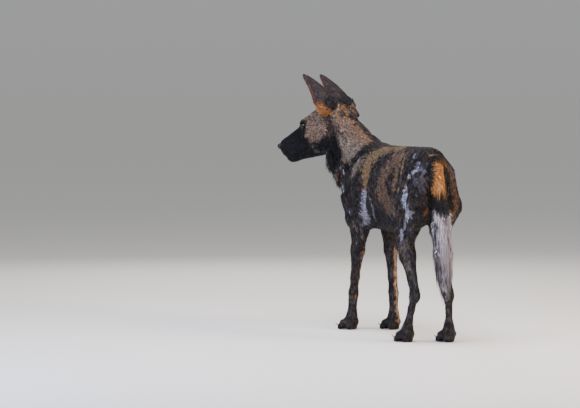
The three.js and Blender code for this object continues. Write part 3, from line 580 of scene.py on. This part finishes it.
def ear_sheet(t, s, side):
    """Places on an ear in the dog's frame, t up the ear and s across it from -1 to 1."""
    half = EAR_WIDTH / 2 * read_table(EAR_OUTLINE, t)
    wrap = np.radians(read_table(EAR_WRAP, t))
    spread = half / np.maximum(np.sin(wrap), np.sin(np.minimum(wrap, 1.4)))
    local = np.stack([
        -spread * np.sin(s * wrap),
        spread * np.cos(s * wrap) - spread * 0.9 - EAR_BOW * t * t,
        t * EAR_HEIGHT,
    ], axis=-1)
    local[..., 0] *= side
    tilt_x, tilt_y, tilt_z = np.radians(EAR_TILT)
    turn = (Matrix.Rotation(tilt_x, 3, "X") @ Matrix.Rotation(side * tilt_y, 3, "Y")
            @ Matrix.Rotation(tilt_z, 3, "Z"))
    left, back, up = EAR_ROOT
    on = local @ np.array(turn).T + np.array([side * left, back, up])
    return HEAD_AT + on @ HEAD_AXES.T


EAR_DARK, EAR_BROWN, EAR_SHADOW = "#2A2022", "#4A3A36", "#171317"
EAR_RIM, EAR_GOLD, EAR_PALE = "#6E3A2C", "#B4763F", "#B9A594"


def ear_colour(t, s, inner, side):
    """An ear is dark brown behind, rusty at the rim and golden at its foot, pale within, and darkened by
    painted shadow deep in its cup near the foot.
    """
    t, s = np.ravel(t), np.ravel(s)
    spot = np.stack([t * 165, s * 60, np.full(len(t), 40.0 * side)], axis=1)
    grain = ripple(spot, 8, 12) * 0.6 + ripple(spot, 25, 13) * 0.5
    colours = np.tile(linear(EAR_DARK), (len(t), 1))
    colours = tint(colours, EAR_BROWN, 0.6 * ramp(grain, 0, 0.9))
    colours = tint(colours, EAR_PALE, 0.6 * inner * ramp(1 - np.abs(s), 0, 0.35))
    colours = tint(colours, EAR_RIM, 0.85 * ramp(np.abs(s) + 0.05 * grain, 0.8, 0.94))
    foot = 1 - ramp(t + 0.06 * grain, 0.2, 0.36)
    colours = tint(colours, EAR_GOLD, 0.9 * foot * ramp(np.abs(s), 0.45, 0.8))
    # Painted shadow: the middle of the cup near its foot, rolled nearly into a tube, is darkened.
    middle = 1 - ramp(np.abs(s) + 0.1 * grain, 0.25, 0.5)
    return tint(colours, EAR_SHADOW, 0.85 * middle * (1 - ramp(t + 0.05 * grain, 0.2, 0.4)))


# The nap of an ear is finer than the render shows, so it is drawn as coarse as 1.1 mm.
NAP_GRAIN, NAP_RISE = 1.1, 0.8
ear_paint, ear_shader, on_ear = new_material("velvety_ear_skin", 0.6, Specular_IOR_Level=0.3)
add_node(
    ear_paint, "ShaderNodeAttribute", feeds=("Color", ear_shader.inputs["Base Color"]),
    attribute_name="coat_colour",
)
nap = add_node(ear_paint, "ShaderNodeTexNoise", [(on_ear, "Vector")], Scale=1 / (NAP_GRAIN * MM), Detail=2)
add_node(
    ear_paint, "ShaderNodeBump", [(nap.outputs["Fac"], "Height")],
    ("Normal", ear_shader.inputs["Normal"]), Strength=0.4, Distance=NAP_RISE * MM,
)

SIDES = {"left": 1, "right": -1}
for side_name, side in SIDES.items():
    places = ear_sheet(sheet_rows, sheet_columns, side).reshape(-1, 3)
    quads = [
        (a, a + 1, a + EAR_COLUMNS + 1, a + EAR_COLUMNS)[::side]
        for row in range(EAR_ROWS - 1) for a in range(row * EAR_COLUMNS, (row + 1) * EAR_COLUMNS - 1)
    ]
    mesh = bpy.data.meshes.new(f"{side_name}_ear_cup")
    mesh.from_pydata([place(p) for p in places], [], quads)
    mesh.update()
    ear = bpy.data.objects.new(f"{side_name}_ear_cup", mesh)
    bpy.context.scene.collection.objects.link(ear)
    bpy.ops.object.select_all(action="DESELECT")
    ear.select_set(True)
    bpy.context.view_layer.objects.active = ear
    paint_points(mesh, ear_colour(sheet_rows, sheet_columns, 0, side))
    wall = ear.modifiers.new("wall", "SOLIDIFY")
    wall.thickness = EAR_THICKNESS * MM
    wall.offset = 0
    bpy.ops.object.modifier_apply(modifier="wall")
    soften = ear.modifiers.new("soften", "SUBSURF")
    soften.levels = soften.render_levels = 1
    bpy.ops.object.modifier_apply(modifier="soften")
    bpy.ops.object.shade_smooth()
    mesh.materials.append(ear_paint)
    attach(ear, "root")
    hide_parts(f"{side_name}_ear")


# Eyes: dark brown balls set deep in their sockets, wet and glossy, each with a round
# pupil, an amber-brown iris and a dark rim, behind a clear cornea.
EYE_RADIUS, CORNEA_BULGE, IRIS_STREAK = 11, 0.3, 0.7
PUPIL_BLACK, IRIS_BROWN = "#0A0706", "#5A3318"
# Degrees off the gaze at which the iris begins and ends.
IRIS_FROM, IRIS_TO = (14, 18), (36, 42)
EYE_LOOK = {"left": (0.62, 0.76, 0.1), "right": (-0.62, 0.76, 0.1)}
eye_paint, eye_shader, on_eye = new_material(
    "wet_brown_eye", 0.14, IOR=1.38, Coat_Weight=0.4, Coat_Roughness=0.08,
)
eye_shade = add_node(eye_paint, "ShaderNodeAttribute", attribute_name="coat_colour")
streaks = add_node(
    eye_paint, "ShaderNodeTexNoise", [(on_eye, "Vector")], Scale=1 / (IRIS_STREAK * MM), Detail=2,
)
eye_mix = add_node(
    eye_paint, "ShaderNodeMix", [(streaks.outputs["Fac"], 0), (eye_shade.outputs["Color"], 6)],
    (2, eye_shader.inputs["Base Color"]), data_type="RGBA", blend_type="MULTIPLY",
)
eye_mix.inputs[7].default_value = (0.55, 0.5, 0.45, 1)
for side_name, side in SIDES.items():
    middle = on_head(side * EYE_AT[0], *EYE_AT[1:])
    bpy.ops.object.select_all(action="DESELECT")
    bpy.ops.mesh.primitive_uv_sphere_add(
        segments=40, ring_count=24, radius=EYE_RADIUS * MM, location=place(middle),
    )
    eye = bpy.context.object
    eye.name = eye.data.name = f"{side_name}_eyeball"
    bpy.ops.object.transform_apply(location=True, rotation=True, scale=True)
    gaze = on_head(*EYE_LOOK[side_name]) - HEAD_AT
    gaze /= np.linalg.norm(gaze)
    places = read_points(eye.data)
    off_gaze = np.degrees(np.arccos(np.clip((places - middle) @ gaze / EYE_RADIUS, -1, 1)))
    colours = np.tile(linear(PUPIL_BLACK), (len(places), 1))
    colours = tint(colours, IRIS_BROWN, (1 - ramp(off_gaze, *IRIS_TO)) * ramp(off_gaze, *IRIS_FROM))
    paint_points(eye.data, colours)
    bulge = 1 - ramp(off_gaze, 10, 40)
    write_points(eye.data, places + gaze * (CORNEA_BULGE * bulge)[:, None])
    bpy.ops.object.shade_smooth()
    eye.data.materials.append(eye_paint)
    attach(eye, "root")
    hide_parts(f"{side_name}_eye")


# Eyelids: bare black skin, folded and drawn into an almond round each eye. Each pair is a
# flattened ring, turned to lie on the slope of the face.
LID_REACH, LID_ROLL = 10.5, 2.9
LID_ALMOND, LID_SLANT, LID_TURN = (1.06, 0.78, 1), -16, 42
LID_OFF_EYE = (3.5, 4.5, 0.5)
LID_FOLD, LID_FOLD_RISE = 1.4, 0.6
lid_paint, lid_shader, on_lid = new_material("bare_black_lid", 0.45, "#0E0C0D", Specular_IOR_Level=0.4)
lid_folds = add_node(
    lid_paint, "ShaderNodeTexNoise", [(on_lid, "Vector")], Scale=1 / (LID_FOLD * MM), Detail=3,
)
add_node(
    lid_paint, "ShaderNodeBump", [(lid_folds.outputs["Fac"], "Height")],
    ("Normal", lid_shader.inputs["Normal"]), Strength=0.4, Distance=LID_FOLD_RISE * MM,
)
for side_name, side in SIDES.items():
    bpy.ops.object.select_all(action="DESELECT")
    bpy.ops.mesh.primitive_torus_add(
        major_radius=LID_REACH, minor_radius=LID_ROLL, major_segments=48, minor_segments=14,
    )
    lid = bpy.context.object
    lid.name = lid.data.name = f"{side_name}_eyelids"
    ring = np.array([vertex.co for vertex in lid.data.vertices])
    ring *= np.array(LID_ALMOND)
    slant = Matrix.Rotation(math.radians(side * LID_SLANT), 3, "Z")
    upright = Matrix.Rotation(math.radians(90), 3, "X")
    turned = np.array(Matrix.Rotation(math.radians(side * LID_TURN), 3, "Z") @ upright @ slant)
    left, ahead, up = np.array(EYE_AT) + LID_OFF_EYE
    write_points(lid.data, on_head(side * left, ahead, up) + ring @ turned.T @ HEAD_AXES.T)
    bpy.ops.object.shade_smooth()
    lid.data.materials.append(lid_paint)
    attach(lid, "root")


# Nose: a moist pad of black pebbled leather with two comma nostrils, which grows on the
# end of the muzzle. It is the frame's own nose, closed, refined and ironed smooth.
NOSE_VOXEL, NOSE_RELAX_ROUNDS = 0.9, 12
PEBBLE, PEBBLE_RISE = 1.1, 0.5
nose_paint, nose_shader, on_nose = new_material(
    "moist_nose_leather", 0.42, "#08080A", Specular_IOR_Level=0.35, Coat_Weight=0.08, Coat_Roughness=0.3,
)
pebbles = add_node(
    nose_paint, "ShaderNodeTexVoronoi", [(on_nose, "Vector")], Scale=1 / (PEBBLE * MM),
)
add_node(
    nose_paint, "ShaderNodeBump", [(pebbles.outputs["Distance"], "Height")],
    ("Normal", nose_shader.inputs["Normal"]), Strength=0.5, Distance=PEBBLE_RISE * MM,
)
bpy.ops.object.select_all(action="DESELECT")
nose = copy_node("nose")
bpy.ops.object.mode_set(mode="EDIT")
bpy.ops.mesh.select_all(action="SELECT")
bpy.ops.mesh.remove_doubles(threshold=MERGE_WITHIN * MM)
bpy.ops.object.mode_set(mode="OBJECT")
nose.name = nose.data.name = "nose_leather_pad"
close_over(nose, NOSE_VOXEL)
relax(nose.data, NOSE_RELAX_ROUNDS)
write_points(nose.data, reach_muzzle(read_points(nose.data)))
bpy.ops.object.shade_smooth()
nose.data.materials.clear()
nose.data.materials.append(nose_paint)
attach(nose, "root")
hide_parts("nose")


# Claws: blunt dark horn, worn paler in patches, rooted in the toes. The frame's own shapes
# stay and take the horn's uneven growth.
HORN_DARK, HORN_WORN = "#14110F", "#4A4038"
HORN_GRAIN, HORN_RISE = 2.6, 0.4
horn_paint, horn_shader, on_claw = new_material("worn_claw_horn", 0.42, Specular_IOR_Level=0.45)
growth = add_node(
    horn_paint, "ShaderNodeTexNoise", [(on_claw, "Vector")], Scale=1 / (HORN_GRAIN * MM), Detail=4,
)
horn_shade = add_node(
    horn_paint, "ShaderNodeValToRGB", [(growth.outputs["Fac"], "Fac")],
    ("Color", horn_shader.inputs["Base Color"]),
)
horn_shade.color_ramp.elements[0].color = (*linear(HORN_DARK), 1)
horn_shade.color_ramp.elements[1].color = (*linear(HORN_WORN), 1)
add_node(
    horn_paint, "ShaderNodeBump", [(growth.outputs["Fac"], "Height")],
    ("Normal", horn_shader.inputs["Normal"]), Strength=0.3, Distance=HORN_RISE * MM,
)
for node_name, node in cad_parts.items():
    if "_claw_" in node_name:
        node.data.materials.clear()
        node.data.materials.append(horn_paint)


# Coat: guard hairs in thin pointed tufts, rooted in the skin and lying along the body
# towards tail and toes, short on the face and feet and longest on the throat.

# Each strand of flesh has a path, a girth, and its hair's length, width and lift. Hair
# between two strands takes after both.
STRANDS = {
    "muzzle": ([on_head(0, 214, 22), on_head(0, 100, 10)], 36, (4.5, 1.3, 0.10)),
    "crown": ([on_head(0, 110, 34), on_head(0, -40, 34)], 52, (9, 1.7, 0.16)),
    "jaw": ([on_head(0, 110, -38), on_head(0, -30, -44)], 42, (9, 1.8, 0.18)),
    "nape": ([on_head(0, -30, 30), (34, -368, 613), (20, -290, 570), (8, -215, 540)], 54, (17, 2.6, 0.2)),
    "throat": (
        [on_head(0, -20, -30), (47, -402, 540), (33, -344, 490), (18, -288, 440)], 54, (24, 2.8, 0.34),
    ),
    "left_ear_root": ([on_head(46, -34, 20), on_head(51, -62, 84)], 17, (10, 2.0, 0.1)),
    "right_ear_root": ([on_head(-46, -34, 20), on_head(-51, -62, 84)], 17, (10, 2.0, 0.1)),
    "back": ([(8, -215, 545), (0, 0, 530), (16, 236, 530)], 76, (14, 2.6, 0.15)),
    "belly": ([(18, -290, 440), (0, -160, 410), (0, 60, 415), (6, 170, 440)], 76, (13, 2.6, 0.17)),
    "rump": ([(16, 225, 545), (20, 250, 490), (16, 240, 420)], 46, (13, 2.6, 0.2)),
}
LEG_HAIR = {
    "shoulder": (13, 2.5, 0.17), "forearm": (8, 2.0, 0.13), "shank": (6, 1.6, 0.1), "paw": (5, 1.4, 0.1),
}
FORE_JOINTS = {
    "left": [(56, -262, 500), (72, -218, 318), (75, -258, 122), (77, -268, 44), (83, -306, 8)],
    "right": [(-40, -262, 500), (-46, -244, 318), (-49, -220, 122), (-49, -218, 44), (-46, -256, 8)],
}
HIND_JOINTS = {
    "left": [(58, 190, 500), (71, 150, 345), (76, 226, 152), (78, 178, 46), (80, 140, 8)],
    "right": [(-36, 190, 500), (-45, 152, 345), (-37, 228, 152), (-40, 226, 46), (-41, 188, 8)],
}
for legs, girths in ((FORE_JOINTS, (44, 24, 16, 18)), (HIND_JOINTS, (48, 26, 15, 18))):
    for side_name, joints in legs.items():
        for (part, hair), girth, start, end in zip(LEG_HAIR.items(), girths, joints[:-1], joints[1:]):
            STRANDS[f"{len(STRANDS)}_{part}"] = ([start, end], girth, hair)
TAIL_STEPS = np.linspace(0, 1.0, 12)
STRANDS["dock"] = (list(tail_at(TAIL_STEPS)), 20, (17, 2.6, 0.16))
# How near a strand its pull stops growing, in girths, and how fast it falls off outside.
STRAND_CORE, STRAND_HOLD = 0.2, 7


def lie_of_coat(points):
    """Which way the hair lies at each place, its length, width and lift, and its chart."""
    way = np.zeros((len(points), 3))
    hair = np.zeros((len(points), 3))
    total = np.zeros(len(points))
    nearest = np.full(len(points), np.inf)
    chart = np.zeros((len(points), 3))
    for number, (path, girth, sizes) in enumerate(STRANDS.values()):
        path = np.asarray(path, float)
        off, at = along_path(points, path)
        weight = np.maximum(off / girth, STRAND_CORE) ** -STRAND_HOLD
        lengths = norms(np.diff(path, axis=0))
        part = np.clip(np.searchsorted(np.cumsum(lengths), at), 0, len(lengths) - 1)
        run = (np.diff(path, axis=0) / lengths[:, None])[part]
        way += run * weight[:, None]
        hair += np.array(sizes) * weight[:, None]
        total += weight
        own = off / girth < nearest
        nearest[own] = (off / girth)[own]
        chart[own, 0] = number
        chart[own, 1] = at[own] / lengths.sum()
        around = points[own] - path[0]
        cross = np.cross(run[own], (0.31, 0.17, 0.93))
        other = np.cross(run[own], cross)
        turn = np.arctan2((around * other).sum(axis=1), (around * cross).sum(axis=1))
        chart[own, 2] = turn / (2 * np.pi) + 0.5
    return unit(way), hair / total[:, None], chart


CHARTS_ACROSS, CHART_EDGE = 6, 0.03
TUFT_PATCH = 0.003


def tuft_patches(chart):
    """The place of each tuft's root on the skin's own unwrap, a strip for each strand."""
    number = chart[:, 0]
    strip = np.stack([number % CHARTS_ACROSS, number // CHARTS_ACROSS], axis=1)
    return (strip + CHART_EDGE + (1 - 2 * CHART_EDGE) * chart[:, 1:]) / CHARTS_ACROSS


# Hair's thickness, its grain, and the share of its colour left at its root, where painted shade darkens
# it.
HAIR_THICKNESS, HAIR_GRAIN, ROOT_PAINTED_SHADE = 0.8, 2.4, 0.62
hair_paint, hair_shader, on_hair = new_material("guard_hair", 0.5, Specular_IOR_Level=0.3)
hair_shade = add_node(hair_paint, "ShaderNodeAttribute", attribute_name="coat_colour")
hair_grain = add_node(
    hair_paint, "ShaderNodeTexNoise", [(on_hair, "Vector")], Scale=1 / (HAIR_GRAIN * MM), Detail=3,
)
hair_mix = add_node(
    hair_paint, "ShaderNodeMix", [(hair_grain.outputs["Fac"], 0), (hair_shade.outputs["Color"], 6)],
    (2, hair_shader.inputs["Base Color"]), data_type="RGBA", blend_type="MULTIPLY",
)
hair_mix.inputs[7].default_value = (0.62, 0.6, 0.58, 1)


def grow_tufts(name, spines, sides, widths, colours, patches, tips=1.12):
    """One piece of coat: a closed pointed tuft along each spine of places, root first.

    A tuft is darkened at its root with painted shade, its own colour at its middle, and tips times that at
    its tip.
    """
    count, rings = len(spines), spines.shape[1] - 1
    ways = np.gradient(spines, axis=1)
    ways /= np.linalg.norm(ways, axis=2)[:, :, None]
    outs = np.cross(sides[:, None, :], ways)
    swell = np.interp(np.linspace(0, 1, rings + 1), [0, 0.4, 1], [0.6, 1, 0.1])[None, :, None]
    across = sides[:, None, :] * widths[:, None, None] * swell / 2
    ring = np.stack([
        spines - across,
        spines + across,
        spines + outs * HAIR_THICKNESS * swell,
    ], axis=2)[:, :rings].reshape(count, rings * 3, 3)
    corners = np.concatenate([ring, spines[:, -1:]], axis=1)
    tip = rings * 3
    faces = [(0, 1, 2)]
    for start in range(0, tip - 3, 3):
        for i, j in ((0, 1), (1, 2), (2, 0)):
            faces += [(start + j, start + i, start + 3 + i), (start + j, start + 3 + i, start + 3 + j)]
    faces += [(tip - 3 + j, tip - 3 + i, tip) for i, j in ((0, 1), (1, 2), (2, 0))]
    loops = (np.arange(count)[:, None, None] * (tip + 1) + np.array(faces)[None]).reshape(-1)
    mesh = bpy.data.meshes.new(name)
    mesh.vertices.add(count * (tip + 1))
    write_points(mesh, corners.reshape(-1, 3))
    mesh.loops.add(len(loops))
    mesh.loops.foreach_set("vertex_index", loops.astype(np.int32))
    mesh.polygons.add(len(loops) // 3)
    mesh.polygons.foreach_set("loop_start", np.arange(0, len(loops), 3, dtype=np.int32))
    mesh.update(calc_edges=True)
    up_tuft = np.append(np.repeat(np.linspace(0, 1, rings + 1)[:-1], 3), 1.0)
    shade = np.interp(up_tuft, [0, 0.5], [ROOT_PAINTED_SHADE, 1.0])
    shade = shade + (np.reshape(tips, (-1, 1)) - 1) * np.maximum(2 * up_tuft - 1, 0)
    paint_points(mesh, (colours[:, None, :] * shade[:, :, None]).reshape(-1, 3))
    aside = np.append(np.tile([0.0, 1.0, 0.5], rings), 0.5)
    patch = patches[:, None, :] + TUFT_PATCH * np.stack([aside, up_tuft], axis=1)[None]
    mesh.uv_layers.new(name="OFBake").data.foreach_set(
        "uv", patch.reshape(-1, 2)[loops].astype(np.float32).ravel())
    mesh.shade_smooth()
    mesh.materials.append(hair_paint)
    piece = bpy.data.objects.new(name, mesh)
    bpy.context.scene.collection.objects.link(piece)
    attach(piece, "root")


# Short coat: each region of the skin grows its own piece, whose hairs stand closest where
# they are short. Nothing grows on the eyes, the nose or the soles.
FORE_LEG_TOP, HIND_LEG_TOP = 345, 410
skin.data.calc_loop_triangles()
corner_index = np.empty(len(skin.data.loop_triangles) * 3, np.int32)
skin.data.loop_triangles.foreach_get("vertices", corner_index)
triangles = corner_index.reshape(-1, 3)
skin_points = read_points(skin.data)
skin_normals = read_normals(skin.data)
a, b, c = (skin_points[triangles[:, n]] for n in range(3))
areas = norms(np.cross(b - a, c - a)) / 2
middles = (a + b + c) / 3
headness = ramp(into_head(middles)[:, 1], -40, -20) * (norms(middles - HEAD_AT) < HEAD_SPAN)
on_neck = (middles[:, 1] < -235) & (middles[:, 2] > 430) & (headness < 0.5)
tail_share = (TAIL_ROOT_HEIGHT - middles[:, 2]) / TAIL_REACH
off_tail = norms((middles - tail_at(np.clip(tail_share, 0, 1)))[:, :2])
on_tail = (off_tail < 34) & (middles[:, 1] > 262) & (middles[:, 2] < 560)
low = middles[:, 2] < np.where(middles[:, 1] < 0, FORE_LEG_TOP, HIND_LEG_TOP)
COAT_REGIONS = [
    ("coat_head", "face_coat", headness >= 0.5, 19500),
    ("coat_neck", "tan_coat", on_neck, 13500),
    ("coat_tail_dock", "brush", on_tail, 3000),
    ("coat_fore_legs", "coat", low & (middles[:, 1] < 0), 15500),
    ("coat_hind_legs", "coat", low & (middles[:, 1] >= 0) & ~on_tail, 17500),
    ("coat_chest", "coat", middles[:, 1] < -60, 16500),
    ("coat_flanks", "coat", middles[:, 1] < 110, 14500),
    ("coat_haunches", "coat", middles[:, 1] < 1000, 14500),
]
EYE_CLEAR, NOSE_CLEAR, SOLE_CLEAR = 13.5, 14, 4
NOSE_TOP = (0, 213, 34)
STRAY_SHADE, STRAY_SHARE = "#8F8178", 0.015
WAY_SPREAD, SHADE_SPREAD = 0.16, 0.34
steps = np.array([0, 0.5, 1.0])
rise = np.array([0, 1.0, 1.25])
rng = np.random.default_rng(20)
taken = np.zeros(len(triangles), bool)
for name, slot_name, region, count in COAT_REGIONS:
    region = region & ~taken
    taken |= region
    _, hair, _ = lie_of_coat(middles[region])
    share = areas[region] / (hair[:, 0] * hair[:, 1])
    picked = np.flatnonzero(region)[rng.choice(len(share), count, p=share / share.sum())]
    u, v = rng.random((2, count))
    u, v = np.where(u + v > 1, 1 - u, u), np.where(u + v > 1, 1 - v, v)
    weights = np.stack([1 - u - v, u, v], axis=1)[:, :, None]
    roots = (skin_points[triangles[picked]] * weights).sum(axis=1)
    normals = (skin_normals[triangles[picked]] * weights).sum(axis=1)
    normals = unit(normals)
    in_head = into_head(roots)
    bare = norms(np.abs(in_head) - np.array(EYE_AT)) < EYE_CLEAR
    bare |= norms(in_head - NOSE_TOP) < NOSE_CLEAR
    bare |= roots[:, 2] < SOLE_CLEAR
    roots, normals = roots[~bare], normals[~bare]
    way, hair, chart = lie_of_coat(roots)
    way += WAY_SPREAD * rng.normal(size=way.shape)
    way -= normals * (way * normals).sum(axis=1)[:, None]
    way = unit(way)
    sides = np.cross(way, normals)
    length = hair[:, 0] * rng.uniform(0.7, 1.25, len(roots))
    width = hair[:, 1] * rng.uniform(0.75, 1.2, len(roots))
    lift = hair[:, 2] * rng.uniform(0.5, 1.5, len(roots))
    height = (length * lift)[:, None] * rise + np.array([-0.5, 0, -0.5])
    spines = roots[:, None, :] + way[:, None, :] * (length[:, None] * steps)[:, :, None]
    spines += normals[:, None, :] * height[:, :, None]
    spines[:, :, 2] = np.maximum(spines[:, :, 2], 1.0)
    colours = coat_colour(roots) * rng.lognormal(0, SHADE_SPREAD, len(roots))[:, None]
    colours = tint(colours, STRAY_SHADE, (rng.random(len(roots)) > 1 - STRAY_SHARE) * 0.5)
    grow_tufts(name, spines, sides, width, colours, tuft_patches(chart))


# Brush: hair up to 100 mm long on the lower tail, white below its black band, hanging in
# loose locks that end in dark stringy tips.
BRUSH_HAIRS = 9000
BRUSH_FROM, BRUSH_TO = 0.22, 0.99
BRUSH_GREY, BRUSH_TIP, BRUSH_EDGE = "#7F7888", "#3B353D", "#2A262C"
LOCK_DRIFT, HAIR_DRIFT = 7.0, 4.0
CORE_RADIUS = [(0, 24), (0.14, 18), (0.4, 17), (0.6, 18), (0.85, 12), (1, 5)]
BRUSH_CURVE = np.array([0, 0.25, 0.5, 0.75, 1.0])
root_share = BRUSH_FROM + (BRUSH_TO - BRUSH_FROM) * rng.random(BRUSH_HAIRS) ** 0.85
turn = rng.uniform(0, 2 * np.pi, BRUSH_HAIRS)
radial = np.stack([np.cos(turn), np.sin(turn), np.zeros(BRUSH_HAIRS)], axis=1)
# Hairs that root near each other form a lock, which has one number from 0 to 1.
locks = np.stack([np.round(turn * 9), np.round(root_share * 16)], axis=1)
lock_seed = np.sin(locks @ np.array([12.9898, 78.233])) * 43758.5453
lock_seed -= np.floor(lock_seed)
length = np.interp(root_share, [BRUSH_FROM, 0.4, 0.6, 1], [24, 55, 84, 78]) * (0.6 + 0.65 * lock_seed)
length *= rng.uniform(0.8, 1.1, BRUSH_HAIRS)
core = read_table(CORE_RADIUS, root_share) - 4
stand = np.interp(root_share, [BRUSH_FROM, 0.4, 0.8, 1], [3, 12, 13, 9]) * (0.45 + 0.8 * lock_seed)
share_down = root_share[:, None] + length[:, None] * BRUSH_CURVE / TAIL_REACH
core_path = tail_at(share_down)
reach = core[:, None] * (1 - 0.25 * BRUSH_CURVE) + stand[:, None] * np.array([0, 0.7, 1.0, 1.0, 0.75])
reach *= 1 - 0.55 * ramp(share_down, 0.95, 1.25)
spines = core_path + radial[:, None, :] * reach[:, :, None]
drift = rng.normal(size=(BRUSH_HAIRS, 3)) * np.array([1, 1, 0.3]) * HAIR_DRIFT
drift += np.stack([np.cos(40 * lock_seed), np.sin(40 * lock_seed), 0 * lock_seed], axis=1) * LOCK_DRIFT
spines += drift[:, None, :] * (BRUSH_CURVE ** 2)[None, :, None]
sides = np.cross(np.array([0, 0, -1.0]), radial)
sides = unit(sides)
root_colours = coat_colour(tail_at(root_share) + radial * 17)
hair_height = spines[:, 2, 2]
below_band = 1 - ramp(hair_height + 16 * (lock_seed - 0.5), 388, 404)
brush_colours = tint(root_colours, TAIL_WHITE, 0.9 * below_band)
grey_lock = ramp(lock_seed, 0.5, 0.8) * (1 - ramp(hair_height, 390, 410))
brush_colours = tint(brush_colours, BRUSH_GREY, 0.6 * grey_lock)
at_end = 1 - ramp(hair_height + 12 * (lock_seed - 0.5), 172, 205)
brush_colours = tint(brush_colours, BRUSH_TIP, 0.8 * at_end)
left_edge = ramp(radial[:, 0], 0.55, 0.9) * (1 - ramp(hair_height, 380, 430)) * (lock_seed > 0.6)
brush_colours = tint(brush_colours, BRUSH_EDGE, 0.8 * left_edge)
brush_colours *= rng.lognormal(0, 0.13, BRUSH_HAIRS)[:, None]
brush_chart = np.stack([
    np.full(BRUSH_HAIRS, list(STRANDS).index("dock")), np.clip(root_share, 0, 1), turn / (2 * np.pi),
], axis=1)
tip_shades = np.interp(spines[:, -1, 2] + 40 * (lock_seed - 0.5), [150, 205, 240], [0.1, 0.35, 1.1])
grow_tufts(
    "coat_brush", spines, sides, rng.uniform(1.6, 3.0, BRUSH_HAIRS), brush_colours,
    tuft_patches(brush_chart), tip_shades,
)


# Ear fur: short velvet down both faces, a rusty fringe at the rim and a soft golden tuft
# at the foot of each ear, long enough to close over its root.
EAR_HAIRS = 8000
EAR_STEP = 0.004
EAR_CHART = 5
for side_name, side in SIDES.items():
    t = rng.uniform(0.0, 0.985, EAR_HAIRS)
    s = np.clip(rng.uniform(-1.02, 1.02, EAR_HAIRS), -0.99, 0.99)
    inner = (rng.random(EAR_HAIRS) > 0.55).astype(float)
    here = ear_sheet(t, s, side)
    up_ear = ear_sheet(t + EAR_STEP, s, side) - here
    up_ear = unit(up_ear)
    over = ear_sheet(t, s + EAR_STEP, side) - ear_sheet(t, s - EAR_STEP, side)
    face = np.cross(up_ear, over) * side
    face = unit(face)
    face *= np.where(inner > 0.5, 1, -1)[:, None]
    rim = ramp(np.abs(s), 0.86, 0.99)
    foot = 1 - ramp(t, 0.1, 0.3)
    length = (5.5 + 7 * rim * (1 - t) + 11 * foot) * rng.uniform(0.7, 1.2, EAR_HAIRS)
    outward = unit(over) * np.sign(s)[:, None]
    way = up_ear + outward * (0.35 * rim)[:, None] + rng.normal(size=here.shape) * 0.14
    way -= face * (way * face).sum(axis=1)[:, None]
    way = unit(way)
    length = np.minimum(length, (1.03 - t) * EAR_HEIGHT)
    roots = here + face * (EAR_THICKNESS / 2 - 0.5)
    lift = (0.1 + 0.15 * foot) * rng.uniform(0.5, 1.5, EAR_HAIRS)
    spines = roots[:, None, :] + way[:, None, :] * (length[:, None] * steps)[:, :, None]
    spines += face[:, None, :] * (length[:, None] * lift[:, None] * np.array([0, 1.0, 1.3]))[:, :, None]
    colours = ear_colour(t, s, inner, side) * rng.lognormal(0, 0.2, EAR_HAIRS)[:, None]
    half_chart = 0.05 if side > 0 else 0.55
    on_chart = np.stack([half_chart + 0.4 * (s / 2 + 0.5), CHART_EDGE + 0.9 * t], axis=1)
    patches = (EAR_CHART + on_chart) / CHARTS_ACROSS
    grow_tufts(
        f"coat_{side_name}_ear", spines, np.cross(way, face), 1.2 + 1.2 * foot, colours, patches,
    )
